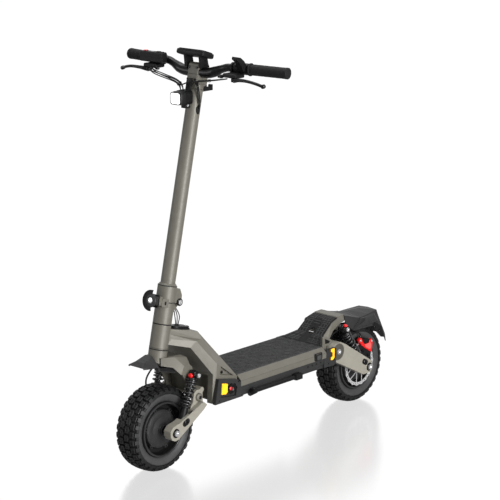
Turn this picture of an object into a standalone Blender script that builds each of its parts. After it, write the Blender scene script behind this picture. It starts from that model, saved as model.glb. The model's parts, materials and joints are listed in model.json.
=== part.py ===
"""Electric kick scooter with front and rear swingarm suspension, built piece by piece.

Frame: metres, +Z up, the scooter rolls towards -Y, +X is the rider's left, ground at z = 0.
Pieces are drawn in a working frame and hang under one empty that centres the whole scooter on Y.
"""
import math

import bmesh
import bpy
from mathutils import Matrix, Vector

# ---------------------------------------------------------------- driving dimensions
CENTRE_SHIFT = -0.00175          # moves the drawn frame so the box is centred on y = 0
TYRE_RADIUS = 0.1275             # 10 inch off-road tyre
TYRE_HALF_WIDTH = 0.041
TYRE_SIDES = 32                  # flat facets round the crown, one of them on the ground
FRONT_AXLE = Vector((0.0, -0.444, TYRE_RADIUS))
REAR_AXLE = Vector((0.0, 0.4373, TYRE_RADIUS))
RAKE = math.radians(12.43)       # steering axis leans back at the top
STEER_FOOT_Y = -0.506            # where the steering axis meets the ground
GAP = 0.0003                     # air between pieces that touch

STEM_TUBE_R = 0.0215
HEAD_TUBE_R = 0.0275
HEAD_TUBE = (0.3690, 0.4400)     # lengths along the steering axis
FOLD_SPLIT = 0.5050
FOLD_PIN_BACK = 0.034            # hinge pin behind the steering axis
FOLD_PIN_UP = 0.509
STEM_TOP = 1.195

FRONT_PIVOT = Vector((0.0, -0.333, 0.207))
REAR_PIVOT = Vector((0.0, 0.275, 0.214))
ARM_INNER_X = 0.058
ARM_OUTER_X = 0.0855
FRONT_SHOCK = (Vector((0, -0.350, 0.279)), Vector((0, -0.402, 0.150)))
REAR_SHOCK = (Vector((0, 0.325, 0.274)), Vector((0, 0.415, 0.1485)))
SHOCK_X = 0.065

DECK_FRONT_Y = -0.1895
DECK_REAR_Y = 0.2000
DECK_TOP_Z = 0.2450
DECK_BOTTOM_Z = 0.1800
DECK_HALF_WIDTH = 0.105
MAT_HALF_WIDTH = 0.0862
MAT_THICK = 0.0035

BAR_END = Vector((0.305, -0.219, 1.162))
BAR_KNEE = Vector((0.127, -0.252, 1.1646))
BAR_MID = Vector((0.042, -0.260, 1.1425))
BAR_R = 0.0115
GRIP_R = 0.016
GRIP_START_X = 0.187

STEER = Matrix.Translation((0, STEER_FOOT_Y, 0)) @ Matrix.Rotation(-RAKE, 4, 'X')
ALONG_X = Matrix.Rotation(math.pi / 2, 4, 'Y')
ALONG_Y = Matrix.Rotation(-math.pi / 2, 4, 'X')

for old in list(bpy.data.objects):
    bpy.data.objects.remove(old, do_unlink=True)

PARTS = bpy.data.collections.new("electric_kick_scooter")
bpy.context.scene.collection.children.link(PARTS)


# ---------------------------------------------------------------- materials
def material(name, colour, roughness, metallic=0.0):
    made = bpy.data.materials.new(name)
    made.use_nodes = True
    shader = made.node_tree.nodes["Principled BSDF"]
    shader.inputs["Base Color"].default_value = (*colour, 1.0)
    shader.inputs["Roughness"].default_value = roughness
    shader.inputs["Metallic"].default_value = metallic
    return made


OLIVE = material("olive_paint", (0.225, 0.212, 0.178), 0.42, 0.45)
DARK = material("dark_grey_plastic", (0.060, 0.060, 0.062), 0.55)
BLACK = material("black_parts", (0.012, 0.012, 0.013), 0.45)
RUBBER = material("rubber", (0.022, 0.022, 0.023), 0.85)
MAT_RUBBER = material("deck_rubber", (0.045, 0.045, 0.046), 0.80)
AMBER = material("amber_lens", (0.95, 0.50, 0.01), 0.20)
RED = material("red_anodised", (0.60, 0.02, 0.02), 0.35, 0.7)
STEEL = material("bright_steel", (0.62, 0.62, 0.63), 0.25, 1.0)
CELL_BLUE = material("battery_wrap", (0.05, 0.12, 0.30), 0.50)
ALLOY = material("bare_alloy", (0.45, 0.45, 0.46), 0.40, 1.0)


# ---------------------------------------------------------------- shape helpers
def add(name, mesh, mat, matrix=None):
    piece = bpy.data.objects.new(name, mesh)
    PARTS.objects.link(piece)
    mesh.materials.clear()
    mesh.materials.append(mat)
    if matrix is not None:
        piece.matrix_world = matrix
    return piece


def mesh_from(bm, name):
    bmesh.ops.recalc_face_normals(bm, faces=bm.faces)
    mesh = bpy.data.meshes.new(name)
    bm.to_mesh(mesh)
    bm.free()
    return mesh


def box(name, low, high, mat, matrix=None):
    """A box between two corners."""
    bm = bmesh.new()
    bmesh.ops.create_cube(bm, size=1.0)
    low, high = Vector(low), Vector(high)
    bmesh.ops.scale(bm, vec=high - low, verts=bm.verts)
    bmesh.ops.translate(bm, vec=(low + high) / 2, verts=bm.verts)
    return add(name, mesh_from(bm, name), mat, matrix)


def rod(name, start, end, radius, mat, sides=16, end_radius=None, matrix=None):
    """A cylinder or cone from one point to another."""
    start, end = Vector(start), Vector(end)
    bm = bmesh.new()
    top = radius if end_radius is None else end_radius
    bmesh.ops.create_cone(bm, cap_ends=True, segments=sides, radius1=radius, radius2=top,
                          depth=(end - start).length)
    turn = Vector((0, 0, 1)).rotation_difference(end - start).to_matrix().to_4x4()
    bmesh.ops.transform(bm, matrix=Matrix.Translation((start + end) / 2) @ turn, verts=bm.verts)
    return add(name, mesh_from(bm, name), mat, matrix)


def ball(name, centre, radius, mat):
    bm = bmesh.new()
    bmesh.ops.create_uvsphere(bm, u_segments=10, v_segments=6, radius=radius)
    bmesh.ops.translate(bm, vec=centre, verts=bm.verts)
    return add(name, mesh_from(bm, name), mat)


def baked(piece):
    """Replace a piece's data by its evaluated mesh, free of modifiers and loose caps."""
    bpy.context.view_layer.update()
    graph = bpy.context.evaluated_depsgraph_get()
    mesh = bpy.data.meshes.new_from_object(piece.evaluated_get(graph))
    bm = bmesh.new()
    bm.from_mesh(mesh)
    bmesh.ops.remove_doubles(bm, verts=bm.verts, dist=1e-6)
    bmesh.ops.recalc_face_normals(bm, faces=bm.faces)
    bm.to_mesh(mesh)
    bm.free()
    return mesh


def flat_piece(name, outline, low, high, mat, plane="YZ", matrix=None):
    """An outline drawn on a plane and given thickness between two levels across that plane."""
    curve = bpy.data.curves.new(name, 'CURVE')
    curve.dimensions = '2D'
    curve.fill_mode = 'BOTH'
    curve.extrude = (high - low) / 2
    spline = curve.splines.new('POLY')
    spline.points.add(len(outline) - 1)
    for point, (u, v) in zip(spline.points, outline):
        point.co = (u, v, 0, 1)
    spline.use_cyclic_u = True
    guide = bpy.data.objects.new(name + "_guide", curve)
    PARTS.objects.link(guide)
    mesh = baked(guide)
    bpy.data.objects.remove(guide, do_unlink=True)
    middle = (low + high) / 2
    if plane == "YZ":
        to_plane = Matrix(((0, 0, 1, middle), (1, 0, 0, 0), (0, 1, 0, 0), (0, 0, 0, 1)))
    elif plane == "XZ":
        to_plane = Matrix(((1, 0, 0, 0), (0, 0, -1, middle), (0, 1, 0, 0), (0, 0, 0, 1)))
    else:
        to_plane = Matrix.Translation((0, 0, middle))
    mesh.transform(to_plane)
    return add(name, mesh, mat, matrix)


def turned(name, profile, mat, matrix, sides=24, closed=False):
    """A profile of (radius, height) turned about the piece's own Z with a Screw modifier."""
    bm = bmesh.new()
    corners = [bm.verts.new((radius, 0, height)) for radius, height in profile]
    pairs = list(zip(corners, corners[1:]))
    if closed:
        pairs.append((corners[-1], corners[0]))
    for start, end in pairs:
        bm.edges.new((start, end))
    mesh = bpy.data.meshes.new(name)
    bm.to_mesh(mesh)
    bm.free()
    piece = add(name, mesh, mat)
    screw = piece.modifiers.new("turn", 'SCREW')
    screw.steps = screw.render_steps = sides
    screw.use_merge_vertices = True
    screw.merge_threshold = 1e-5
    piece.data = baked(piece)
    piece.modifiers.clear()
    piece.matrix_world = matrix
    return piece


def tube(name, points, radius, mat, detail=2, smooth=0):
    """A round bar or cable through points; smooth adds points on a curve through them."""
    route = [Vector(point) for point in points]
    if smooth:
        route = curve_through(route, smooth)
    curve = bpy.data.curves.new(name, 'CURVE')
    curve.dimensions = '3D'
    curve.bevel_depth = radius
    curve.bevel_resolution = detail
    curve.use_fill_caps = True
    spline = curve.splines.new('POLY')
    spline.points.add(len(route) - 1)
    for point, place in zip(spline.points, route):
        point.co = (*place, 1)
    guide = bpy.data.objects.new(name + "_guide", curve)
    PARTS.objects.link(guide)
    mesh = baked(guide)
    bpy.data.objects.remove(guide, do_unlink=True)
    return add(name, mesh, mat)


def curve_through(points, steps):
    """Points on a Catmull-Rom curve through the given points."""
    ends = [points[0] * 2 - points[1], *points, points[-1] * 2 - points[-2]]
    route = []
    for a, b, c, d in zip(ends, ends[1:], ends[2:], ends[3:]):
        for step in range(steps):
            t = step / steps
            route.append(0.5 * (2 * b + (c - a) * t + (2 * a - 5 * b + 4 * c - d) * t * t
                                + (3 * b - a - 3 * c + d) * t ** 3))
    return route + [points[-1]]


def loft(name, rings, mat, matrix=None):
    """A closed body through rings that have the same number of corners."""
    bm = bmesh.new()
    rows = [[bm.verts.new(corner) for corner in ring] for ring in rings]
    for row, following in zip(rows, rows[1:]):
        for a, b, c, d in zip(row, row[1:] + row[:1], following[1:] + following[:1], following):
            bm.faces.new((a, b, c, d))
    bm.faces.new(rows[0])
    bm.faces.new(rows[-1])
    return add(name, mesh_from(bm, name), mat, matrix)


def folded_sheet(name, rows, thickness, mat):
    """An open surface of rows of points, thickened with Solidify."""
    bm = bmesh.new()
    grid = [[bm.verts.new(corner) for corner in row] for row in rows]
    for row, following in zip(grid, grid[1:]):
        for a, b, c, d in zip(row, row[1:], following[1:], following):
            bm.faces.new((a, b, c, d))
    piece = add(name, mesh_from(bm, name), mat)
    solidify = piece.modifiers.new("thickness", 'SOLIDIFY')
    solidify.thickness = thickness
    solidify.offset = 0
    piece.data = baked(piece)
    piece.modifiers.clear()
    return piece


def combine(piece, other, how):
    """Boolean another piece into this one, then drop the other."""
    bpy.context.view_layer.update()
    modifier = piece.modifiers.new(how, 'BOOLEAN')
    modifier.operation = how
    modifier.object = other
    mat = piece.data.materials[0]
    mesh = baked(piece)
    piece.modifiers.clear()
    piece.data = mesh
    mesh.materials.clear()
    mesh.materials.append(mat)
    for polygon in mesh.polygons:
        polygon.material_index = 0
    bpy.data.objects.remove(other, do_unlink=True)
    return piece


def join(piece, *others):
    for other in others:
        combine(piece, other, 'UNION')
    return piece


def cut(piece, *others):
    for other in others:
        combine(piece, other, 'DIFFERENCE')
    return piece


def rounded(piece, width, segments=2):
    """Bevel the sharp edges of a piece."""
    bevel = piece.modifiers.new("edges", 'BEVEL')
    bevel.width = width
    bevel.segments = segments
    bevel.limit_method = 'ANGLE'
    bevel.angle_limit = math.radians(40)
    piece.data = baked(piece)
    piece.modifiers.clear()
    return piece


def arc(centre, radius, start, end, count):
    """Points of a circular arc on a plane, angles in degrees."""
    return [(centre[0] + radius * math.cos(math.radians(start + (end - start) * k / count)),
             centre[1] + radius * math.sin(math.radians(start + (end - start) * k / count)))
            for k in range(count + 1)]


def both_sides(points):
    """A half outline at +X, from bottom to top, closed by its mirror image."""
    return points + [(-u, v) for u, v in reversed(points)]


def mirror_x(point):
    return Vector((-point[0], point[1], point[2]))


# ---------------------------------------------------------------- empties on the joint axes
def empty(name, place, parent=None):
    marker = bpy.data.objects.new(name, None)
    bpy.context.scene.collection.objects.link(marker)
    marker.location = place
    if parent is not None:
        bpy.context.view_layer.update()
        marker.parent = parent
        marker.matrix_parent_inverse = parent.matrix_world.inverted()
    bpy.context.view_layer.update()
    return marker


def attach(marker, *pieces):
    """Hang pieces on an empty without moving them."""
    bpy.context.view_layer.update()
    for piece in pieces:
        piece.parent = marker
        piece.matrix_parent_inverse = marker.matrix_world.inverted()


SCOOTER = empty("scooter", (0, 0, 0))
FOLD_PIN_AT = STEER @ Vector((0, FOLD_PIN_BACK, FOLD_PIN_UP))
STEERING_JOINT = empty("steering_joint", STEER @ Vector((0, 0, HEAD_TUBE[0])), SCOOTER)
STEM_JOINT = empty("stem_joint", FOLD_PIN_AT, STEERING_JOINT)


# ---------------------------------------------------------------- wheels and axles
def wheel(side, axle, disc_side, joint):
    """Tyre, hub motor shell, brake disc and the fixed axle with its stator."""
    here = Matrix.Translation(axle) @ ALONG_X @ Matrix.Rotation(math.pi / TYRE_SIDES, 4, 'Z')
    crown = TYRE_RADIUS / math.cos(math.pi / TYRE_SIDES)
    half = [(0.082, 0.031), (0.098, TYRE_HALF_WIDTH - 0.001), (0.114, TYRE_HALF_WIDTH), (crown, 0.031)]
    inner = [(0.1150, 0.030), (0.082, 0.024)]
    ring = half + [(r, -x) for r, x in reversed(half)]
    ring += [(r, -x) for r, x in reversed(inner)] + inner
    tyre = turned(side + "_tyre", ring, RUBBER, here, TYRE_SIDES, closed=True)

    shell = [(0.0078, 0.0400), (0.045, 0.0350), (0.062, 0.0190), (0.0765, 0.0195), (0.0785, 0.0375),
             (0.0845, 0.0375), (0.0815, 0.0310)]
    cavity = [(0.0515, 0.0240), (0.0078, 0.0330)]
    ring = shell + [(r, -x) for r, x in reversed(shell)]
    ring += [(r, -x) for r, x in reversed(cavity)] + cavity
    hub = turned(side + "_hub_motor", ring, BLACK, here, 24, closed=True)

    disc_low, disc_high = sorted((disc_side * 0.0425, disc_side * 0.0450))
    disc = flat_piece(side + "_brake_disc", arc((axle.y, axle.z), 0.070, 0, 342, 19),
                      disc_low, disc_high, STEEL)
    cut(disc, rod("bore", axle - Vector((0.1, 0, 0)), axle + Vector((0.1, 0, 0)), 0.016, BLACK, 12))
    for k in range(5):
        turn = Matrix.Translation(axle) @ Matrix.Rotation(k * math.pi / 2.5, 4, 'X')
        window = flat_piece("window", [(0.024, -0.009), (0.054, -0.021), (0.054, 0.021), (0.024, 0.009)],
                            -0.06, 0.06, BLACK, matrix=turn)
        cut(disc, window)

    shaft = rod(side + "_axle_stator", axle - Vector((0.0865, 0, 0)), axle + Vector((0.0865, 0, 0)),
                0.0070, STEEL, 12)
    stator = rod("stator", axle - Vector((0.017, 0, 0)), axle + Vector((0.017, 0, 0)), 0.047, STEEL, 24)
    join(shaft, stator)
    return tyre, hub, disc, shaft


front_tyre, front_hub, front_disc, front_axle = wheel("front", FRONT_AXLE, -1, None)
rear_tyre, rear_hub, rear_disc, rear_axle = wheel("rear", REAR_AXLE, 1, None)


# ---------------------------------------------------------------- swingarms
def slab(name, outline, mat, side, low=ARM_INNER_X, high=ARM_OUTER_X):
    """A side-view outline given thickness on one side of the scooter."""
    near, far = sorted((side * low, side * high))
    return flat_piece(name, outline, near, far, mat)


def cross_rod(name, place, half_length, radius, mat, sides=16):
    reach = Vector((half_length, 0, 0))
    centre = Vector((0, place[-2], place[-1]))
    return rod(name, centre - reach, centre + reach, radius, mat, sides)


def swingarm(name, outline, pivot, axle, shock_top, shock_foot, bridge, bridge_r, pin_r, hump=None):
    """Two side arms joined by a bridge, with pivot and axle holes and a pocket for each shock."""
    piece = slab(name, outline, OLIVE, 1)
    join(piece, slab("right", outline, OLIVE, -1))
    for side in (1, -1):
        if hump:
            join(piece, slab("hump", hump, OLIVE, side, ARM_INNER_X, 0.0680))
    join(piece, cross_rod("bridge", bridge, ARM_INNER_X + 0.004, bridge_r, OLIVE))
    up = (shock_top - shock_foot).normalized()
    beside = Vector((0, up.z, -up.y))

    def along_shock(near, far, half):
        corners = (shock_foot + up * near - beside * half, shock_foot + up * near + beside * half,
                   shock_foot + up * far + beside * half, shock_foot + up * far - beside * half)
        return [(c.y, c.z) for c in corners]

    for side in (1, -1):
        cut(piece, slab("seat_space", along_shock(0.0250, 0.10, 0.0205), BLACK, side, 0.047, 0.0825))
        cut(piece, slab("pocket", along_shock(-0.0130, 0.05, 0.0135), BLACK, side, SHOCK_X - 0.0095,
                        SHOCK_X + 0.0092))
        join(piece, slab("bolt", arc((shock_foot.y, shock_foot.z), 0.0035, 0, 315, 7), OLIVE, side,
                         ARM_INNER_X + 0.002, ARM_OUTER_X - 0.001))
    cut(piece, cross_rod("pivot_hole", pivot, 0.2, pin_r + GAP, BLACK))
    cut(piece, cross_rod("axle_hole", axle, 0.2, 0.0073, BLACK))
    return piece


FRONT_ARM_OUTLINE = [(-0.466, 0.122), (-0.460, 0.110), (-0.447, 0.104), (-0.432, 0.107), (-0.311, 0.1818),
                     (-0.329, 0.1950), (-0.384, 0.1715), (-0.425, 0.1545), (-0.455, 0.148), (-0.466, 0.136)]
FRONT_ARM_HUMP = [(-0.385, 0.160), (-0.345, 0.1500), (-0.313, 0.172), (-0.316, 0.222), (-0.326, 0.229),
                  (-0.341, 0.229), (-0.3505, 0.222), (-0.356, 0.195), (-0.372, 0.176)]
REAR_ARM_OUTLINE = [(0.247, 0.205), (0.250, 0.225), (0.262, 0.239), (0.290, 0.2415), (0.318, 0.228),
                    (0.3427, 0.212), (0.4423, 0.150), (0.450, 0.140), (0.450, 0.116), (0.443, 0.1085),
                    (0.408, 0.1085), (0.2884, 0.171), (0.258, 0.186)]
front_swingarm = swingarm("front_swingarm", FRONT_ARM_OUTLINE, FRONT_PIVOT, FRONT_AXLE, *FRONT_SHOCK,
                          (-0.312, 0.2225), 0.0085, 0.006, FRONT_ARM_HUMP)
rear_swingarm = swingarm("rear_swingarm", REAR_ARM_OUTLINE, REAR_PIVOT, REAR_AXLE, *REAR_SHOCK,
                         (0.310, 0.2190), 0.0090, 0.008)
for side in (1, -1):
    boss = slab("boss", arc((REAR_PIVOT.y, REAR_PIVOT.z), 0.0275, 0, 340, 17), OLIVE, side, 0.0845, 0.0915)
    join(rear_swingarm, boss)
cut(rear_swingarm, cross_rod("pivot_hole", REAR_PIVOT, 0.2, 0.008 + GAP, BLACK))
for side in (1, -1):
    cut(front_swingarm, flat_piece("chamfer", [(side * 0.0870, -0.340), (side * 0.0870, -0.290),
                                               (side * 0.0790, -0.290)], 0.150, 0.250, BLACK, "XY"))


def caliper(name, axle, side, lean, outer, mat):
    """A brake caliper on its bracket plate, standing on the arm and straddling the disc."""
    def out(y, z):
        turn = math.radians(lean)
        return (axle.y + y * math.cos(turn) - z * math.sin(turn), axle.z + y * math.sin(turn) + z * math.cos(turn))
    body = slab(name, [out(-0.022, 0.050), out(0.022, 0.050), out(0.026, 0.084), out(-0.026, 0.084)],
                mat, side, 0.0425, outer)
    slot = slab("slot", [out(-0.04, 0.03), out(0.04, 0.03), out(0.04, 0.0715), out(-0.04, 0.0715)],
                BLACK, side, 0.0400, 0.0462)
    cut(body, slot)
    plate = slab("plate", [out(-0.016, 0.020), out(0.012, 0.016), out(0.020, 0.060), out(-0.020, 0.060)],
                 mat, side, outer - 0.0045, outer - 0.0005)
    join(body, plate)
    cut(body, cross_rod("axle_hole", axle, 0.2, 0.0074, BLACK))
    return body


rear_caliper = caliper("rear_caliper", REAR_AXLE, 1, -14, 0.0570, RED)
front_caliper = caliper("front_caliper", FRONT_AXLE, -1, -98, 0.0560, RED)


# ---------------------------------------------------------------- shock absorbers
def shock(label, top, foot, side, turns):
    """Damper body with its upper eye, damper rod with its lower eye, and the coil spring."""
    top = Vector((side * SHOCK_X, top.y, top.z))
    foot = Vector((side * SHOCK_X, foot.y, foot.z))
    down = (foot - top).normalized()
    length = (foot - top).length

    def at(distance):
        return top + down * distance

    width = Vector((0.0088, 0, 0))
    body = rod(label + "_damper", top - width, top + width, 0.0115, BLACK, 12)
    join(body, rod("neck", at(0.004), at(0.0180), 0.0080, BLACK, 8))
    join(body, rod("seat", at(0.0160), at(0.0200), 0.0168, BLACK, 12))
    join(body, rod("barrel", at(0.0190), at(length * 0.60), 0.0108, BLACK, 12))
    cut(body, rod("bore", at(0.0280), at(length), 0.0068, BLACK, 10))
    cut(body, rod("eye", top - width * 3, top + width * 3, 0.0054, BLACK, 10))

    stem = rod(label + "_rod", foot - width, foot + width, 0.0100, BLACK, 12)
    join(stem, rod("foot", at(length - 0.004), at(length - 0.032), 0.0088, BLACK, 8))
    join(stem, rod("seat", at(length - 0.0300), at(length - 0.0340), 0.0168, BLACK, 12))
    join(stem, rod("shaft", at(length - 0.0320), at(length * 0.60 - 0.020), 0.0060, BLACK, 10))

    cut(stem, rod("eye", foot - width * 3, foot + width * 3, 0.0052, BLACK, 10))

    first, last = 0.0230, length - 0.0370
    across = Vector((1, 0, 0))
    beside = down.cross(across)
    count = turns * 7
    helix = []
    for k in range(count + 1):
        angle = k * math.tau / 7
        offset = across * math.cos(angle) + beside * math.sin(angle)
        helix.append(at(first + (last - first) * k / count) + offset * 0.0143)
    coil = tube(label + "_spring", helix, 0.0022, BLACK, detail=0)
    return body, stem, coil


shocks = {}
for end, (top, foot), turns in (("front", FRONT_SHOCK, 6), ("rear", REAR_SHOCK, 7)):
    for word, side in (("left", 1), ("right", -1)):
        shocks[end, word] = shock(f"{end}_shock_{word}", top, foot, side, turns)


# ---------------------------------------------------------------- fork and steering head
def section_at(x, corners):
    return [Vector((x, y, z)) for y, z in corners]


CROWN_MIDDLE = [(-0.447, 0.3180), (-0.447, 0.3400), (-0.368, 0.3355), (-0.362, 0.3020)]
CROWN_ELBOW = [(-0.408, 0.3060), (-0.402, 0.3370), (-0.352, 0.3260), (-0.352, 0.2960)]
CROWN_TIP = [(-0.386, 0.2820), (-0.373, 0.3060), (-0.345, 0.2950), (-0.349, 0.2680)]
fork = loft("fork", [section_at(-0.0505, CROWN_TIP), section_at(-0.040, CROWN_ELBOW),
                     section_at(-0.030, CROWN_MIDDLE), section_at(0.030, CROWN_MIDDLE),
                     section_at(0.040, CROWN_ELBOW), section_at(0.0505, CROWN_TIP)], OLIVE)
join(fork, rod("crown", (0, 0, 0.3300), (0, 0, 0.3660), HEAD_TUBE_R, OLIVE, 24, matrix=STEER))
join(fork, rod("steerer", (0, 0, 0.3500), (0, 0, 0.4950), 0.0145, OLIVE, 16, matrix=STEER))
LEG_OUTLINE = [(-0.386, 0.300), (-0.352, 0.310), (-0.336, 0.292), (-0.3225, 0.214), (-0.3230, 0.202),
               (-0.333, 0.195), (-0.343, 0.200), (-0.346, 0.214)]
for side in (1, -1):
    join(fork, slab("leg", LEG_OUTLINE, OLIVE, side, 0.0425, 0.0476))
    join(fork, slab("shock_boss", arc((FRONT_SHOCK[0].y, FRONT_SHOCK[0].z), 0.0115, 0, 330, 11), OLIVE, side,
                    0.0450, 0.0556))
    join(fork, slab("shock_pin", arc((FRONT_SHOCK[0].y, FRONT_SHOCK[0].z), 0.0050, 0, 330, 11), OLIVE, side,
                    0.0500, 0.0840))
    join(fork, slab("arm_pin", arc((FRONT_PIVOT.y, FRONT_PIVOT.z), 0.0060, 0, 330, 11), OLIVE, side,
                    0.0450, 0.0690))
join(fork, flat_piece("panel", [(-0.331, 0.214), (-0.326, 0.214), (-0.338, 0.298), (-0.343, 0.298)],
                      -0.047, 0.047, OLIVE))

steerer_head = rod("steerer_head", (0, 0, 0.4430), (0, 0, FOLD_SPLIT - GAP), HEAD_TUBE_R, OLIVE, 24,
                   matrix=STEER)
HEAD_LUG = [(0.012, 0.466), (0.026, 0.474), (0.042, 0.496), (0.0425, 0.513), (0.038, 0.5195),
            (0.026, 0.5195), (0.021, 0.5045), (0.012, 0.5045)]
join(steerer_head, flat_piece("lug", HEAD_LUG, -0.0115, 0.0115, OLIVE, matrix=STEER))
cut(steerer_head, rod("bore", (0, 0, 0.4300), (0, 0, 0.4990), 0.0148, BLACK, 16, matrix=STEER))


def fold_hole():
    centre = Vector((0, FOLD_PIN_BACK, FOLD_PIN_UP))
    reach = Vector((0.06, 0, 0))
    return rod("fold_hole", centre - reach, centre + reach, 0.0043, BLACK, 12, matrix=STEER)


cut(steerer_head, fold_hole())
PIN = Vector((0, FOLD_PIN_BACK, FOLD_PIN_UP))
fold_pin = rod("fold_pin", PIN - Vector((0.0255, 0, 0)), PIN + Vector((0.0255, 0, 0)), 0.0040, STEEL, 12,
               matrix=STEER)
for side in (1, -1):
    head = rod("head", PIN + Vector((side * 0.0240, 0, 0)), PIN + Vector((side * 0.0285, 0, 0)), 0.0075, STEEL, 16,
               matrix=STEER)
    join(fold_pin, head)

FENDER_ROWS = ((-0.517, 0.0290, 0.3260, 0.0300, 0.3225), (-0.501, 0.0160, 0.3350, 0.0350, 0.3215),
               (-0.466, 0.0140, 0.3465, 0.0400, 0.3200), (-0.464, 0.0200, 0.3125, 0.0400, 0.3080),
               (-0.398, 0.0260, 0.2990, 0.0400, 0.2900))
front_fender = folded_sheet("front_fender", [[(-low_w, y, low_z), (-top_w, y, top_z), (top_w, y, top_z),
                                              (low_w, y, low_z)]
                                             for y, top_w, top_z, low_w, low_z in FENDER_ROWS], 0.0028, DARK)

# ---------------------------------------------------------------- neck, head tube and headset
NECK_RINGS = (((0.017, -0.408, 0.4175), (0.024, -0.404, 0.402), (0.026, -0.400, 0.387), (0.023, -0.412, 0.373)),
              ((0.045, -0.312, 0.3970), (0.055, -0.300, 0.370), (0.062, -0.334, 0.374), (0.058, -0.354, 0.358)),
              ((0.074, -0.190, 0.2450), (0.088, -0.190, 0.243), (0.0925, -0.280, 0.300), (0.088, -0.292, 0.268)),
              ((0.074, -0.190, 0.1810), (0.0928, -0.190, 0.181), (0.0928, -0.290, 0.181), (0.088, -0.297, 0.181)))
neck_frame = loft("neck_frame", [[Vector(c) for c in half] + [mirror_x(c) for c in reversed(half)]
                                 for half in NECK_RINGS], OLIVE)
join(neck_frame, rod("head_tube", (0, 0, HEAD_TUBE[0]), (0, 0, HEAD_TUBE[1]), HEAD_TUBE_R, OLIVE, 24,
                     matrix=STEER))
cut(neck_frame, rod("head_bore", (0, 0, 0.30), (0, 0, 0.47), 0.0218, BLACK, 20, matrix=STEER))
cut(neck_frame, box("nose_recess", (-0.068, -0.35, 0.15), (0.068, -0.276, 0.262), BLACK))
for side in (1, -1):
    cut(neck_frame, slab("pocket", [(-0.268, 0.264), (-0.206, 0.2475), (-0.262, 0.288)], BLACK, side, 0.080, 0.12))

headset = turned("headset", [(0.0150, 0.3664), (HEAD_TUBE_R, 0.3664), (HEAD_TUBE_R, 0.3687), (0.0215, 0.3687),
                             (0.0215, 0.4403), (HEAD_TUBE_R, 0.4403), (HEAD_TUBE_R, 0.4427), (0.0150, 0.4427)],
                 BLACK, STEER, 24, closed=True)

NECK_SLOPE = math.atan2(0.4175 - 0.3970, 0.408 - 0.312)
cover_place = Matrix.Translation((0, -0.3450, 0.4046)) @ Matrix.Rotation(-NECK_SLOPE, 4, 'X')
COVER = arc((0, 0.016), 0.020, 0, 180, 8) + arc((0, -0.016), 0.020, 180, 360, 8)
neck_top_cover = flat_piece("neck_top_cover", COVER, GAP, 0.0080, BLACK, "XY", cover_place)
cut(neck_top_cover, rod("cable_hole", (0, -0.008, -0.01), (0, -0.008, 0.02), 0.0060, BLACK, 12,
                        matrix=cover_place))

# ---------------------------------------------------------------- deck
SHELL_HALF = [(DECK_HALF_WIDTH - 0.0035, 0.2130), (DECK_HALF_WIDTH, 0.2130), (DECK_HALF_WIDTH, 0.2300),
              (0.0885, DECK_TOP_Z), (0.0868, DECK_TOP_Z), (0.0868, 0.2412)]
SHELL_INNER = [(-0.1015, 0.2282), (-0.0905, 0.2375), (0.0905, 0.2375), (0.1015, 0.2282)]
shell_outline = SHELL_HALF + [(-u, v) for u, v in reversed(SHELL_HALF)] + SHELL_INNER
deck_frame = flat_piece("deck_frame", shell_outline, DECK_FRONT_Y + GAP, DECK_REAR_Y, OLIVE, "XZ")

RAMP = ((0.2006, 0.0862, 0.2412, 0.0985, 0.2260), (0.245, 0.0530, 0.2615, 0.0680, 0.2400),
        (0.290, 0.0505, 0.2960, 0.0560, 0.2720), (0.3185, 0.0480, 0.3040, 0.0520, 0.2830),
        (0.3210, 0.0470, 0.3095, 0.0515, 0.2840), (0.3520, 0.0450, 0.3110, 0.0500, 0.2900))
footrest = loft("footrest", [[(low_w, y, low_z), (top_w, y, top_z), (-top_w, y, top_z), (-low_w, y, low_z)]
                             for y, top_w, top_z, low_w, low_z in RAMP], OLIVE)
join(footrest, box("web", (-0.050, 0.2008, 0.2000), (0.050, 0.2600, 0.2380), OLIVE))
join(footrest, cross_rod("pivot_tube", REAR_PIVOT, 0.0560, 0.0160, OLIVE, 20))
join(footrest, box("pivot_web", (-0.050, 0.2400, 0.2060), (0.050, 0.2750, 0.2220), OLIVE))
join(footrest, cross_rod("pivot_pin", REAR_PIVOT, 0.0935, 0.0080, OLIVE))
join(footrest, cross_rod("shock_tube", REAR_SHOCK[0], 0.0556, 0.0110, OLIVE))
join(footrest, cross_rod("shock_pin", REAR_SHOCK[0], 0.0840, 0.0050, OLIVE, 12))
cut(footrest, rod("hook_hole", (0, 0.252, 0.256), (0, 0.252, 0.300), 0.0100, BLACK, 16))

MAT_ROWS = [(DECK_FRONT_Y + 0.0006, 0.0862, 0.2414), (0.2004, 0.0862, 0.2414), (0.2450, 0.0525, 0.2618),
            (0.2900, 0.0500, 0.2963), (0.3180, 0.0475, 0.3043)]
mat_low = [[(w, y, z), (-w, y, z)] for y, w, z in MAT_ROWS]
deck_mat = loft("deck_mat", [[(w, y, z), (w, y, z + MAT_THICK), (-w, y, z + MAT_THICK), (-w, y, z)]
                             for y, w, z in MAT_ROWS], MAT_RUBBER)
cut(deck_mat, rod("hook_hole", (0, 0.252, 0.256), (0, 0.252, 0.300), 0.0110, BLACK, 16))

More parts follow.
